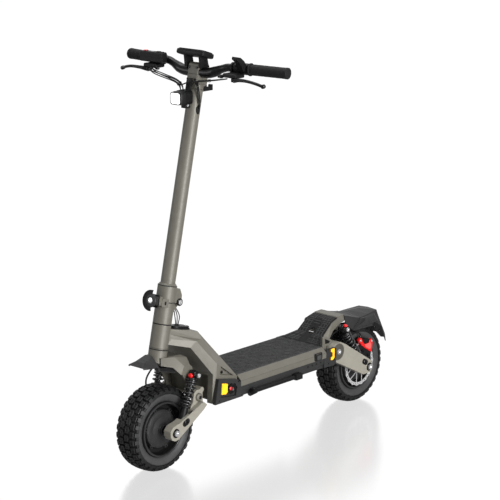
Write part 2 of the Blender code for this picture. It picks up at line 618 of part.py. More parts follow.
PAN_HALF = [(0.0935, 0.1830), (0.1005, 0.1990), (0.1005, 0.2127), (0.1035, 0.2127), (0.1035, 0.1980),
            (0.0950, DECK_BOTTOM_Z)]
pan_outline = PAN_HALF + [(-u, v) for u, v in reversed(PAN_HALF)]
belly_cover = flat_piece("belly_cover", pan_outline, DECK_FRONT_Y + GAP, DECK_REAR_Y, DARK, "XZ")
join(belly_cover, flat_piece("rear_wall", [(-0.095, 0.1810), (0.095, 0.1810), (0.1020, 0.1985), (0.1020, 0.2125),
                                           (-0.1020, 0.2125), (-0.1020, 0.1985)], DECK_REAR_Y - 0.003,
                             DECK_REAR_Y, DARK, "XZ"))
LAMP_HOUSING = [(-0.300, 0.181), (-0.1820, 0.1810), (-0.1720, 0.1900), (-0.1720, 0.2127), (-0.1899, 0.2127),
                (-0.1899, 0.2260), (-0.2030, 0.2380), (-0.2850, 0.2560)]
REAR_CORNER = [(0.1900, 0.1830), (0.2360, 0.1815), (0.2475, 0.1880), (0.2475, 0.2330), (0.2330, 0.2470),
               (0.2008, 0.2440), (0.2008, 0.2127), (0.1900, 0.2127)]
LENS_WINDOW = [(-0.276, 0.198), (-0.212, 0.190), (-0.206, 0.214), (-0.214, 0.228), (-0.272, 0.242)]
REAR_WINDOW = [(0.2215, 0.198), (0.2425, 0.198), (0.2425, 0.238), (0.2215, 0.238)]
for side in (1, -1):
    lamp = slab("lamp", LAMP_HOUSING, DARK, side, 0.0935, 0.1045)
    join(belly_cover, cut(lamp, slab("window", LENS_WINDOW, BLACK, side, 0.0975, 0.12)))
    corner = slab("corner", REAR_CORNER, DARK, side, 0.0995, 0.1045)
    join(belly_cover, cut(corner, slab("window", REAR_WINDOW, BLACK, side, 0.1015, 0.12)))
STAND_PIVOT = Vector((0.1140, -0.1450, 0.1900))
STAND_AXIS = Vector((0.857, 0.0, 0.515)).normalized()
join(belly_cover, rod("stand_lug", STAND_PIVOT - STAND_AXIS * 0.0190, STAND_PIVOT - STAND_AXIS * 0.0082, 0.0095,
                      DARK, 16))
join(belly_cover, rod("stand_pin", STAND_PIVOT - STAND_AXIS * 0.0160, STAND_PIVOT + STAND_AXIS * 0.0090, 0.0040,
                      DARK, 12))

FRONT_LENS = [(-0.2710, 0.2060), (-0.2530, 0.2030), (-0.2470, 0.2090), (-0.2450, 0.2330), (-0.2520, 0.2355),
              (-0.2690, 0.2393)]
REAR_LENS = [(0.2240, 0.2000), (0.2330, 0.2000), (0.2400, 0.2060), (0.2400, 0.2360), (0.2240, 0.2360),
             (0.2240, 0.2270), (0.2320, 0.2230), (0.2320, 0.2110), (0.2240, 0.2090)]
lenses = []
for word, side in (("left", 1), ("right", -1)):
    lenses.append(slab("front_lens_" + word, FRONT_LENS, AMBER, side, 0.0978, 0.1038))
    lenses.append(slab("rear_lens_" + word, REAR_LENS, AMBER, side, 0.1018, 0.1048))

battery_pack = box("battery_pack", (-0.084, -0.168, 0.1850), (0.084, 0.085, 0.2345), CELL_BLUE)
motor_controller = box("motor_controller", (-0.055, 0.095, 0.1850), (0.055, 0.186, 0.2240), ALLOY)

REAR_FENDER_ROWS = ((0.3540, 0.3075, 0.0460, 0.3060, 0.0540, 0.2790), (0.3850, 0.3030, 0.0490, 0.2970, 0.0590, 0.2530),
                    (0.4100, 0.3000, 0.0500, 0.2890, 0.0585, 0.2510), (0.4310, 0.2985, 0.0490, 0.2840, 0.0575, 0.2500),
                    (0.4800, 0.2955, 0.0430, 0.2860, 0.0545, 0.2470), (0.5300, 0.2905, 0.0360, 0.2880, 0.0500, 0.2420),
                    (0.5420, 0.2640, 0.0370, 0.2610, 0.0490, 0.2320), (0.5736, 0.2000, 0.0380, 0.1990, 0.0420, 0.1760))
rear_fender = folded_sheet("rear_fender", [[(-low_w, y, low_z), (-top_w, y, top_z), (0, y, ridge_z),
                                            (top_w, y, top_z), (low_w, y, low_z)]
                                           for y, ridge_z, top_w, top_z, low_w, low_z in REAR_FENDER_ROWS],
                           0.0028, DARK)

charge_port_cap = box("charge_port_cap", (DECK_HALF_WIDTH + 0.0005, 0.148, 0.2140),
                      (DECK_HALF_WIDTH + 0.0040, 0.174, 0.2340), RUBBER)
rounded(charge_port_cap, 0.0012, 1)

STAND_LENGTH = 0.213
foot_end = STAND_PIVOT + Vector((0, STAND_LENGTH, 0))
kickstand = rod("kickstand", STAND_PIVOT - STAND_AXIS * 0.0078, STAND_PIVOT + STAND_AXIS * 0.0090, 0.0095,
                BLACK, 16)
join(kickstand, rod("leg", STAND_PIVOT, foot_end, 0.0068, BLACK, 12))
join(kickstand, box("foot", (foot_end.x - 0.0085, foot_end.y - 0.030, foot_end.z - 0.0085),
                    (foot_end.x + 0.0085, foot_end.y, foot_end.z + 0.0085), BLACK))
cut(kickstand, rod("bore", STAND_PIVOT - STAND_AXIS * 0.02, STAND_PIVOT + STAND_AXIS * 0.02, 0.0044, BLACK, 12))

# ---------------------------------------------------------------- stem
stem = rod("stem", (0, 0, 0.5450), (0, 0, 1.1500), STEM_TUBE_R, OLIVE, 24, matrix=STEER)
join(stem, rod("sleeve", (0, 0, FOLD_SPLIT + GAP), (0, 0, 0.5540), 0.0282, OLIVE, 24, matrix=STEER))
join(stem, rod("sleeve_top", (0, 0, 0.5535), (0, 0, 0.5600), 0.0282, OLIVE, 24, end_radius=0.0235, matrix=STEER))
EAR = [(0.010, 0.5056), (0.0255, 0.5056), (0.0275, 0.5025), (0.034, 0.5005), (0.0405, 0.5025),
       (0.0425, 0.509), (0.0410, 0.530), (0.0300, 0.548), (0.010, 0.548)]
join(stem, flat_piece("ears", EAR, -0.0235, 0.0235, OLIVE, matrix=STEER))
join(stem, box("latch_boss", (-0.0150, -0.0460, 0.4960), (0.0150, -0.0284, 0.5210), OLIVE, matrix=STEER))
join(stem, box("latch_root", (-0.0130, -0.0300, 0.5070), (0.0130, -0.0200, 0.5190), OLIVE, matrix=STEER))
head_block = box("head_block", (-0.0240, -0.0225, 1.1300), (0.0240, 0.0235, STEM_TOP), OLIVE, matrix=STEER)
join(stem, rounded(head_block, 0.0060, 1))
cut(stem, rod("stem_bore", (0, 0, 0.4950), (0, 0, 1.1340), 0.0185, BLACK, 20, matrix=STEER))
cut(stem, box("lug_notch", (-0.0119, 0.0100, 0.4950), (0.0119, 0.0500, 0.5310), BLACK, matrix=STEER))
cut(stem, fold_hole())
cut(stem, rod("bar_hole", (-0.06, BAR_MID.y, BAR_MID.z), (0.06, BAR_MID.y, BAR_MID.z), BAR_R + 0.0012, BLACK, 16))

stem_hook = flat_piece("stem_hook", [(-0.2336, 1.1250), (-0.2270, 1.1250), (-0.2250, 1.0960), (-0.2085, 1.0930),
                                     (-0.2065, 1.1000), (-0.2005, 1.1000), (-0.2005, 1.0830), (-0.2427, 1.0830)],
                       -0.0065, 0.0065, BLACK)

knob_axis = Matrix.Translation((0, 0, 0.5080))
fold_knob = rod("fold_knob", (0, -0.0463, 0.5080), (0, -0.0600, 0.5080), 0.0165, BLACK, 20, matrix=STEER)
WING = arc((0.0012, 0.5080), 0.0290, 92, 268, 10)
join(fold_knob, flat_piece("wing", WING, -0.0630, -0.0590, BLACK, "XZ", matrix=STEER))

# ---------------------------------------------------------------- handlebar and what it carries
def bar_point(x):
    """A point on the straight outer stretch of the handlebar."""
    return BAR_KNEE.lerp(BAR_END, (abs(x) - BAR_KNEE.x) / (BAR_END.x - BAR_KNEE.x)) * 1


def on_side(point, side):
    return Vector((side * abs(point[0]), point[1], point[2]))


BAR_HALF = [BAR_MID, Vector((0.066, -0.2595, 1.1475)), Vector((0.100, -0.2560, 1.1600)), BAR_KNEE, BAR_END]
bar_route = [mirror_x(p) for p in reversed(BAR_HALF)] + BAR_HALF
handlebar = tube("handlebar", bar_route, BAR_R, BLACK)

grips, perches, levers = [], [], []
for word, side in (("left", 1), ("right", -1)):
    start = on_side(bar_point(GRIP_START_X), side)
    end = on_side(BAR_END, side)
    along = (end - start).normalized()
    grip = rod("grip_" + word, start, end + along * 0.004, GRIP_R, RUBBER, 20)
    cut(grip, rod("bore", start - along * 0.01, end + along * GAP, BAR_R + GAP, BLACK, 16))
    grips.append(grip)

    ring_at = on_side(bar_point(0.152), side)
    perch = rod("lever_perch_" + word, ring_at - along * 0.009, ring_at + along * 0.009, 0.0165, BLACK, 16)
    low = (0.130, -0.2950, 1.1420)
    high = (0.182, -0.2560, 1.1540)
    block = box("block", (min(side * low[0], side * high[0]), low[1], low[2]),
                (max(side * low[0], side * high[0]), high[1], high[2]), BLACK)
    join(perch, rounded(block, 0.003, 1))
    cut(perch, rod("bore", ring_at - along * 0.06, ring_at + along * 0.06, BAR_R + GAP, BLACK, 16))
    perches.append(perch)

    pivot = Vector((side * 0.168, -0.2850, 1.1370))
    lever = rod("brake_lever_" + word, pivot - Vector((0, 0, 0.0045)), pivot + Vector((0, 0, 0.0045)), 0.0095,
                BLACK, 16)
    blade = [pivot, Vector((side * 0.195, -0.2930, 1.1365)), Vector((side * 0.225, -0.2960, 1.1345)),
             Vector((side * 0.252, -0.2920, 1.1315)), Vector((side * 0.276, -0.2850, 1.1300))]
    join(lever, tube("blade", blade, 0.0045, BLACK, detail=1))
    join(lever, ball("ball", blade[-1], 0.0072, BLACK))
    levers.append(lever)

along_left = (BAR_END - BAR_KNEE).normalized()
throttle_at = bar_point(0.174)
throttle_paddle = rod("throttle_paddle", throttle_at - along_left * 0.0100, throttle_at + along_left * 0.0100,
                      0.0165, BLACK, 16)
PADDLE = [(-0.252, 1.1770), (-0.262, 1.1900), (-0.276, 1.2000), (-0.290, 1.2030), (-0.292, 1.1960),
          (-0.282, 1.1880), (-0.272, 1.1760), (-0.266, 1.1600), (-0.250, 1.1640)]
join(throttle_paddle, flat_piece("paddle", PADDLE, throttle_at.x - 0.0095, throttle_at.x + 0.0095, BLACK))
cut(throttle_paddle, rod("bore", throttle_at - along_left * 0.06, throttle_at + along_left * 0.06, BAR_R + GAP,
                         BLACK, 16))

pod_at = on_side(bar_point(0.174), -1)
along_right = (on_side(BAR_END, -1) - on_side(BAR_KNEE, -1)).normalized()
switch_pod = rod("switch_pod", pod_at - along_right * 0.0105, pod_at + along_right * 0.0105, 0.0160, BLACK, 16)
pod_box = box("pod", (-0.1990, -0.2920, 1.1580), (-0.1080, -0.2680, 1.1880), BLACK)
join(switch_pod, rounded(pod_box, 0.003, 1))
join(switch_pod, box("neck", (-0.1830, -0.2750, 1.1590), (-0.1650, -0.2500, 1.1770), BLACK))
cut(switch_pod, rod("bore", pod_at - along_right * 0.10, pod_at + along_right * 0.10, BAR_R + GAP, BLACK, 16))
BUTTON_AT = Vector((-0.184, -0.280, 1.1880))
cut(switch_pod, rod("button_well", BUTTON_AT - Vector((0, 0, 0.0040)), BUTTON_AT + Vector((0, 0, 0.01)), 0.0063,
                    BLACK, 16))
horn_button = rod("horn_button", BUTTON_AT - Vector((0, 0, 0.0005)), BUTTON_AT + Vector((0, 0, 0.0022)), 0.0058,
                  RED, 16)

display_place = Matrix.Translation((0, -0.2665, 1.1945)) @ Matrix.Rotation(math.radians(-18), 4, 'X')
display = box("display", (-0.0525, -0.0250, -0.0080), (0.0525, 0.0250, 0.0080), BLACK, matrix=display_place)
rounded(display, 0.0050, 2)
for side in (1, -1):
    near, far = sorted((side * 0.0250, side * 0.0330))
    join(display, flat_piece("leg", [(-0.2760, 1.1560), (-0.2440, 1.1560), (-0.2500, 1.1830), (-0.2800, 1.1930)],
                             near, far, BLACK))

headlight = box("headlight", (-0.0215, -0.3470, 1.0560), (0.0215, -0.2958, 1.0940), BLACK)
rounded(headlight, 0.0080, 2)
join(headlight, box("foot", (-0.0090, -0.3160, 1.0440), (0.0090, -0.2995, 1.0600), BLACK))

cable_meeting = Vector((0.012, -0.2960, 1.1180))
right_route = [(-0.150, -0.2965, 1.1400), (-0.118, -0.3080, 1.1360), (-0.075, -0.3120, 1.1270),
               (-0.036, -0.3090, 1.1170), (-0.012, -0.3060, 1.1090), (-0.004, -0.3040, 1.1030)]
left_route = [(0.150, -0.2965, 1.1400), (0.110, -0.3010, 1.1330), (0.066, -0.2985, 1.1260),
              (0.034, -0.2930, 1.1200), (0.028, -0.2850, 1.1000), (0.0285, -0.2790, 1.0600), (0.0260, -0.2790, 1.0400)]
link_route = [(0.034, -0.2930, 1.1200), (0.012, -0.3010, 1.1190), (-0.014, -0.3080, 1.1090), (-0.024, -0.3085, 1.1100)]
control_cables = tube("control_cables", right_route, 0.0048, BLACK, detail=1, smooth=2)
join(control_cables, tube("link", link_route, 0.0024, BLACK, detail=0, smooth=2))
join(control_cables, tube("left", left_route, 0.0034, BLACK, detail=1, smooth=2))

# ---------------------------------------------------------------- hang every piece on its joint
attach(SCOOTER, neck_frame, neck_top_cover, headset, deck_frame, footrest, deck_mat, belly_cover, *lenses,
       battery_pack, motor_controller, rear_fender)
attach(empty("charge_cap_joint", (DECK_HALF_WIDTH + 0.0022, 0.161, 0.2140), SCOOTER), charge_port_cap)
attach(empty("kickstand_joint", STAND_PIVOT, SCOOTER), kickstand)
attach(STEERING_JOINT, fork, front_fender, steerer_head, fold_pin)
attach(STEM_JOINT, stem, stem_hook, handlebar, *grips, *perches, switch_pod, display, headlight, control_cables)
attach(empty("fold_knob_joint", STEER @ Vector((0, -0.0463, 0.5080)), STEM_JOINT), fold_knob)
for word, side, lever in (("left", 1, levers[0]), ("right", -1, levers[1])):
    attach(empty(f"brake_lever_{word}_joint", (side * 0.168, -0.2850, 1.1370), STEM_JOINT), lever)
attach(empty("throttle_joint", throttle_at, STEM_JOINT), throttle_paddle)
attach(empty("horn_button_joint", BUTTON_AT, STEM_JOINT), horn_button)

for end, carrier, pivot, axle, pieces in (
        ("front", STEERING_JOINT, FRONT_PIVOT, FRONT_AXLE,
         (front_swingarm, front_axle, front_caliper, front_tyre, front_hub, front_disc)),
        ("rear", SCOOTER, REAR_PIVOT, REAR_AXLE,
         (rear_swingarm, rear_axle, rear_caliper, rear_tyre, rear_hub, rear_disc))):
    arm_joint = empty(end + "_arm_joint", pivot, carrier)
    attach(arm_joint, *pieces[:3])
    attach(empty(end + "_wheel_joint", axle, arm_joint), *pieces[3:])
    top = FRONT_SHOCK[0] if end == "front" else REAR_SHOCK[0]
    shock_joint = empty(end + "_shock_joint", top, carrier)
    rod_joint = empty(end + "_shock_rod_joint", top, shock_joint)
    for word in ("left", "right"):
        body, stem_rod, coil = shocks[end, word]
        attach(shock_joint, body, coil)
        attach(rod_joint, stem_rod)

for piece in PARTS.objects:
    piece.data.shade_smooth()
    piece.data.set_sharp_from_angle(angle=math.radians(30))

SCOOTER.location.y = CENTRE_SHIFT
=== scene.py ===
"""Looks of the electric kick scooter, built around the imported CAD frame."""
import json
from math import atan2, cos, pi, radians, sin, tau

import bmesh
import bpy
from mathutils import Matrix, Vector
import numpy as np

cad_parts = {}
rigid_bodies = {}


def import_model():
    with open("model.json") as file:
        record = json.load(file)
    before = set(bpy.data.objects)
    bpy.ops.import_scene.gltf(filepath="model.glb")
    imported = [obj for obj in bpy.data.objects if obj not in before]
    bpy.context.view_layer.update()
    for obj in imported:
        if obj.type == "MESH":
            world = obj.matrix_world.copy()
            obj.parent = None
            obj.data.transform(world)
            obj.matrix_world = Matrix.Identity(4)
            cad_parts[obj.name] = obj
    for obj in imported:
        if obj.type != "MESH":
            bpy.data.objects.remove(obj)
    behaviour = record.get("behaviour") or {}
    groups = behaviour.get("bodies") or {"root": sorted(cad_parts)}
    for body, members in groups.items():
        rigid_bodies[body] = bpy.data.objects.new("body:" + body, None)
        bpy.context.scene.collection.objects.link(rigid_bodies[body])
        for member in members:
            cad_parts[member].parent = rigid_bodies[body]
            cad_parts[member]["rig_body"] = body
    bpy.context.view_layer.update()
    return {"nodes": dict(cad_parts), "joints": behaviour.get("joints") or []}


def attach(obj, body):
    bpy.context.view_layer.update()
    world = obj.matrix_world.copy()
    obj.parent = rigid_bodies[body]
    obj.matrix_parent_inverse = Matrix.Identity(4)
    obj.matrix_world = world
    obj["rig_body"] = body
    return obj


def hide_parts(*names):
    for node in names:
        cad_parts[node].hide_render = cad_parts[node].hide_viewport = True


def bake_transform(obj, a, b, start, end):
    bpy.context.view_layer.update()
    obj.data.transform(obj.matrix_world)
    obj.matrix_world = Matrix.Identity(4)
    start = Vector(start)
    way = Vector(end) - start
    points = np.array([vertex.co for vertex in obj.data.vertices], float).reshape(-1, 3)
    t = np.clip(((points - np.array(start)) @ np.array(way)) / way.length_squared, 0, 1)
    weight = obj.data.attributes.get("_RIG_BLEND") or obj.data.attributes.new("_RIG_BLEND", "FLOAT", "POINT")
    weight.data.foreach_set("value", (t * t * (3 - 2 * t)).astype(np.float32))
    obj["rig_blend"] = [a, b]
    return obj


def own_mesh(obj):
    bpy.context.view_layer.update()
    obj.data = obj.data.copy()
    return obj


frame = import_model()
NODES = frame["nodes"]
wheel_joint = next(joint for joint in frame["joints"] if joint["name"] == "front_wheel_spin")


def mm(*points):
    """Points given in millimetres, as tuples in metres."""
    return [tuple(v / 1000 for v in point) for point in points]


def at(*point):
    """One place given in millimetres, as a vector in metres."""
    return Vector([v / 1000 for v in point])


def rot(angle, axis):
    return Matrix.Rotation(angle, 4, axis)


move = Matrix.Translation
# Shapes below are drawn with the front axle at y = -0.444 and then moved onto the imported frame.
SHIFT = Vector((0, wheel_joint["pos_m"][1] + 0.444, 0))
RAKE = radians(12.43)
STEER = move((0, -0.506, 0)) @ rot(-RAKE, 'X')
FRONT_AXLE = at(0, -444, 127.5)
REAR_AXLE = at(0, 437.3, 127.5)
SIDES = (("left", 1), ("right", -1))


# ---- materials
def add_node(tree, kind, **values):
    """A shader node with its named inputs set; an underscore stands for a space."""
    node = tree.nodes.new("ShaderNode" + kind)
    for name, value in values.items():
        node.inputs[name.replace("_", " ")].default_value = value
    return node


def finish(name, colour, roughness, metallic=0.0, mottle=0.08, mottle_scale=40.0, grain=0.0, grain_scale=900.0,
        coat=0.0, emission=0.0, cells=False, specular=None):
    """A Principled material whose colour, roughness and bump vary with noise in the object's own metres."""
    material = bpy.data.materials.new(name)
    material.use_nodes = True
    tree = material.node_tree
    link = tree.links.new
    shader = tree.nodes["Principled BSDF"].inputs
    shader["Metallic"].default_value = metallic
    shader["Coat Weight"].default_value = coat
    shader["Coat Roughness"].default_value = 0.12
    if specular is not None:
        shader["Specular IOR Level"].default_value = specular
    if emission:
        shader["Emission Color"].default_value = (*colour, 1)
        shader["Emission Strength"].default_value = emission
    place = add_node(tree, "TexCoord").outputs["Object"]

    def noise(scale, detail):
        source = add_node(tree, "TexNoise", Scale=scale, Detail=detail)
        link(place, source.inputs["Vector"])
        return source.outputs["Fac"]

    ramp = add_node(tree, "ValToRGB")
    for stop, position, factor in zip(ramp.color_ramp.elements, (0.3, 0.7), (1 - mottle, 1 + mottle)):
        stop.position = position
        stop.color = (*(min(1, c * factor) for c in colour), 1)
    link(noise(mottle_scale, 4.0), ramp.inputs[0])
    link(ramp.outputs[0], shader["Base Color"])
    spread = add_node(tree, "MapRange", To_Min=max(0.02, roughness - 0.06), To_Max=min(1.0, roughness + 0.06))
    link(noise(mottle_scale * 3, 6.0), spread.inputs["Value"])
    link(spread.outputs[0], shader["Roughness"])
    if grain:
        if cells:
            source = add_node(tree, "TexVoronoi", Scale=grain_scale)
            link(place, source.inputs["Vector"])
            height = source.outputs["Distance"]
        else:
            height = noise(grain_scale, 2.0)
        bump = add_node(tree, "Bump", Strength=grain, Distance=0.0004)
        link(height, bump.inputs["Height"])
        link(bump.outputs[0], shader["Normal"])
    return material


OLIVE = finish("olive_metallic_paint", (0.138, 0.131, 0.109), 0.48, 0.18, mottle=0.05, grain=0.1, grain_scale=2600)
# A lighter copy of the olive paint for the swing arms: painted light where the key light falls on their sides.
OLIVE_PAINTED_LIGHT = finish("olive_arm_painted_light", (0.3, 0.285, 0.24), 0.5, 0.15, mottle=0.05, grain=0.1, grain_scale=2600)
OLIVE_DARK = finish("olive_shadowed", (0.085, 0.081, 0.066), 0.45, 0.3, mottle=0.05, grain=0.1, grain_scale=2600)
FENDER = finish("moulded_dark_grey", (0.023, 0.023, 0.0236), 0.5, grain=0.25, grain_scale=1500, cells=True,
    specular=0.3)
# A darker copy of the fender grey: painted shade along the rear fender's creases.
FENDER_SHADE = finish("moulded_grey_painted_crease_shade", (0.0065, 0.0065, 0.007), 0.62, grain=0.25, grain_scale=1500)
BLACK = finish("black_plastic", (0.007, 0.007, 0.0075), 0.42, grain=0.15, grain_scale=1700, specular=0.22)
GLOSS = finish("black_paint", (0.006, 0.006, 0.0065), 0.24, 0.1, grain=0.05, specular=0.35)
SPRING = finish("spring_lacquer", (0.034, 0.034, 0.036), 0.26, 0.6, grain=0.05, coat=0.5, specular=0.6)
# A lighter, faintly glowing red: painted highlight on the calipers' outer faces.
RED_PAINTED_HIGHLIGHT = finish("red_anodised_painted_highlight", (0.9, 0.11, 0.1), 0.34, 0.15, grain=0.05, emission=0.12)
TYRE = finish("tyre_rubber", (0.0105, 0.0105, 0.011), 0.44, mottle=0.2, grain=0.35, grain_scale=700, specular=0.25)
# Lighter than the tread rubber: a painted broad highlight on the tyre's sidewall band.
SIDEWALL_PAINTED_HIGHLIGHT = finish("tyre_sidewall_painted_highlight", (0.05, 0.05, 0.051), 0.46, mottle=0.1, grain=0.12, grain_scale=1500, specular=0.25)
GRIP = finish("grip_rubber", (0.009, 0.009, 0.0095), 0.62, grain=0.3, grain_scale=1200, specular=0.22)
MAT = finish("deck_mat_rubber", (0.0085, 0.0085, 0.009), 0.74, mottle=0.15, grain=0.5, grain_scale=1400,
    specular=0.25)
RIB = finish("deck_mat_rib", (0.05, 0.05, 0.0515), 0.66, mottle=0.15, grain=0.5, grain_scale=1400, specular=0.3)
AMBER = finish("amber_lens", (1.0, 0.5, 0.012), 0.18, emission=0.45, coat=0.3)
# The faint glow of the red anodised parts is painted light.
RED = finish("red_anodised", (0.78, 0.008, 0.01), 0.32, 0.25, coat=0.1, emission=0.1)
CHROME = finish("bright_steel", (0.86, 0.86, 0.87), 0.26, 0.9, mottle=0.05)
DISC = finish("brushed_disc", (0.95, 0.95, 0.96), 0.36, 0.75, mottle=0.06, mottle_scale=300)
HUB = finish("cast_black_alloy", (0.036, 0.036, 0.037), 0.36, 0.4, grain=0.2, grain_scale=1200, specular=0.35)
LIP = finish("rim_lip", (0.05, 0.05, 0.052), 0.32, 0.6)
LAMP = finish("lit_headlight", (1.0, 1.0, 1.0), 0.3, emission=2.0)
SCREEN = finish("display_glass", (0.004, 0.004, 0.005), 0.1, coat=0.3, specular=0.3)
CABLE = finish("cable_sheath", (0.008, 0.008, 0.009), 0.45, grain=0.1, specular=0.25)
BLUE = finish("battery_wrap", (0.05, 0.12, 0.3), 0.45)
ALLOY = finish("bare_alloy", (0.5, 0.5, 0.51), 0.38, 0.9)
# Near-black for the seams between parts, and painted shade in recesses, notches, slots and holes.
SEAM_AND_SHADE = finish("line_shadow", (0.006, 0.006, 0.006), 0.6, specular=0.2)


# ---- building pieces
def into_scene(name, data):
    thing = bpy.data.objects.new(name, data)
    bpy.context.scene.collection.objects.link(thing)
    return thing


def mesh_of(bm, name="shape", fix=True):
    if fix:
        bmesh.ops.recalc_face_normals(bm, faces=bm.faces)
    mesh = bpy.data.meshes.new(name)
    bm.to_mesh(mesh)
    bm.free()
    return mesh


def show(name, shape, mat, body, replaces=(), bevel=0.0, angle=35, smooth=32):
    """Places a shape drawn in the drawing frame and hangs it on a CAD body; bevel is in millimetres."""
    mesh = mesh_of(shape) if isinstance(shape, bmesh.types.BMesh) else shape
    mesh.transform(move(SHIFT))
    mesh.materials.clear()
    mesh.materials.append(mat)
    for polygon in mesh.polygons:
        polygon.material_index = 0
    mesh.shade_smooth()
    mesh.set_sharp_from_angle(angle=radians(smooth))
    piece = into_scene(name, mesh)
    if bevel:
        edge = piece.modifiers.new("edges", 'BEVEL')
        edge.width = bevel / 1000
        edge.segments = 2
        edge.limit_method = 'ANGLE'
        edge.angle_limit = radians(angle)
        edge.harden_normals = True
    if body:
        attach(piece, body)
    if replaces:
        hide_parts(*replaces)
    return piece


def on_steering_tube(face):
    """True for a strip of a tube that runs round the steering axis."""
    middle = STEER.inverted() @ face.calc_center_median()
    facing = STEER.inverted().to_3x3() @ face.normal
    outwards = Vector((middle.x, middle.y, 0))
    return 0.013 < outwards.length < 0.029 and abs(facing.dot(outwards.normalized())) > 0.96


def refine(node, mat, bevel, crisp):
    """The CAD node again, with its flat faces merged and its edges rounded; crisp keeps facets apart."""
    bm = bmesh.new()
    bm.from_mesh(NODES[node].data)
    bmesh.ops.remove_doubles(bm, verts=bm.verts, dist=2e-5)
    bmesh.ops.dissolve_limit(bm, angle_limit=radians(0.8), verts=bm.verts, edges=bm.edges)
    bmesh.ops.translate(bm, vec=-SHIFT, verts=bm.verts)
    bm.normal_update()
    bm.verts.index_update()
    facets = set()
    if crisp:
        for edge in bm.edges:
            if len(edge.link_faces) == 2 and not all(on_steering_tube(f) for f in edge.link_faces):
                if edge.calc_face_angle(0) > radians(crisp):
                    facets.add(tuple(sorted((edge.verts[0].index, edge.verts[1].index))))
    mesh = mesh_of(bm, node, fix=False)
    for attribute in [a for a in mesh.attributes if a.name in ("custom_normal", "sharp_edge", "sharp_face")]:
        mesh.attributes.remove(attribute)
    piece = show(node + "_finished", mesh, mat, NODES[node]["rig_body"], replaces=[node], bevel=bevel, angle=32)
    for edge in mesh.edges:
        if tuple(sorted(edge.vertices)) in facets:
            edge.use_edge_sharp = True
    return piece


def add_box(bm, low, high):
    made = bmesh.ops.create_cube(bm, size=1.0)["verts"]
    low, high = Vector(low), Vector(high)
    bmesh.ops.scale(bm, vec=high - low, verts=made)
    bmesh.ops.translate(bm, vec=(low + high) / 2, verts=made)


def add_rod(bm, start, end, radius, sides=24):
    """A solid rod; its radius is in millimetres."""
    start, end = Vector(start), Vector(end)
    made = bmesh.ops.create_cone(bm, cap_ends=True, segments=sides, radius1=radius / 1000, radius2=radius / 1000,
        depth=(end - start).length)["verts"]
    turn = Vector((0, 0, 1)).rotation_difference(end - start).to_matrix().to_4x4()
    bmesh.ops.transform(bm, matrix=move((start + end) / 2) @ turn, verts=made)


def polar(radius, angle, centre=(0, 0)):
    """The point at an angle on a circle."""
    return (centre[0] + radius * cos(angle), centre[1] + radius * sin(angle))


def ring_points(radius, count, centre=(0, 0), start=0.0):
    return [polar(radius, start + tau * k / count, centre) for k in range(count)]


def add_turned(bm, profile, matrix, sides=48):
    """A profile of (radius, height), closed on itself and turned about matrix's Z."""
    rows = [[bm.verts.new(matrix @ Vector((*polar(r, tau * k / sides), h))) for r, h in profile]
        for k in range(sides)]
    for row, following in zip(rows, rows[1:] + rows[:1]):
        for k in range(len(profile)):
            j = (k + 1) % len(profile)
            bm.faces.new((row[k], row[j], following[j], following[k]))


def axis_frame(start, direction):
    """A frame at start whose Z runs along direction."""
    direction = Vector(direction).normalized()
    return move(start) @ Vector((0, 0, 1)).rotation_difference(direction).to_matrix().to_4x4()


def turned(name, profile, start, direction, mat, body, sides=48, **options):
    bm = bmesh.new()
    add_turned(bm, profile, axis_frame(start, direction), sides)
    return show(name, bm, mat, body, **options)


def curve_through(points, steps):
    """A smooth route through the points, with that many steps between two of them."""
    points = [Vector(p) for p in points]
    ends = [points[0] * 2 - points[1], *points, points[-1] * 2 - points[-2]]
    route = []
    for a, b, c, d in zip(ends, ends[1:], ends[2:], ends[3:]):
        for step in range(steps):
            t = step / steps
            route.append(0.5 * (2 * b + (c - a) * t + (2 * a - 5 * b + 4 * c - d) * t * t
                + (3 * b - a - 3 * c + d) * t ** 3))
    return route + [points[-1]]


def add_tube(bm, route, radius, sides=10):
    """Rings carried along a route without twisting."""
    route = [Vector(p) for p in route]
    tangent = (route[1] - route[0]).normalized()
    side = tangent.orthogonal().normalized()
    rings = []
    for k, place in enumerate(route):
        ahead = route[min(k + 1, len(route) - 1)] - route[max(k - 1, 0)]
        ahead.normalize()
        side = (side - ahead * side.dot(ahead)).normalized()
        other = ahead.cross(side)
        width = radius(k / (len(route) - 1)) if callable(radius) else radius
        rings.append([bm.verts.new(place + (side * cos(tau * j / sides) + other * sin(tau * j / sides)) * width)
            for j in range(sides)])
    for ring, following in zip(rings, rings[1:]):
        for j in range(sides):
            bm.faces.new((ring[j], ring[(j + 1) % sides], following[(j + 1) % sides], following[j]))
    bm.faces.new(list(reversed(rings[0])))
    bm.faces.new(rings[-1])


def tube(name, points, radius, mat, body):
    bm = bmesh.new()
    add_tube(bm, curve_through(points, 8), radius)
    return show(name, bm, mat, body, smooth=60)


def add_prism(bm, outline, low, high, matrix=Matrix(), plane="YZ"):
    """A convex outline on a plane given thickness across it."""
    rows = []
    for level in sorted((low, high)):
        points = [{"YZ": (level, u, v), "XZ": (u, level, v), "XY": (u, v, level)}[plane] for u, v in outline]
        rows.append([bm.verts.new(matrix @ Vector(point)) for point in points])
    for k in range(len(outline)):
        j = (k + 1) % len(outline)
        bm.faces.new((rows[0][k], rows[0][j], rows[1][j], rows[1][k]))
    bm.faces.new(rows[0])
    bm.faces.new(rows[1])


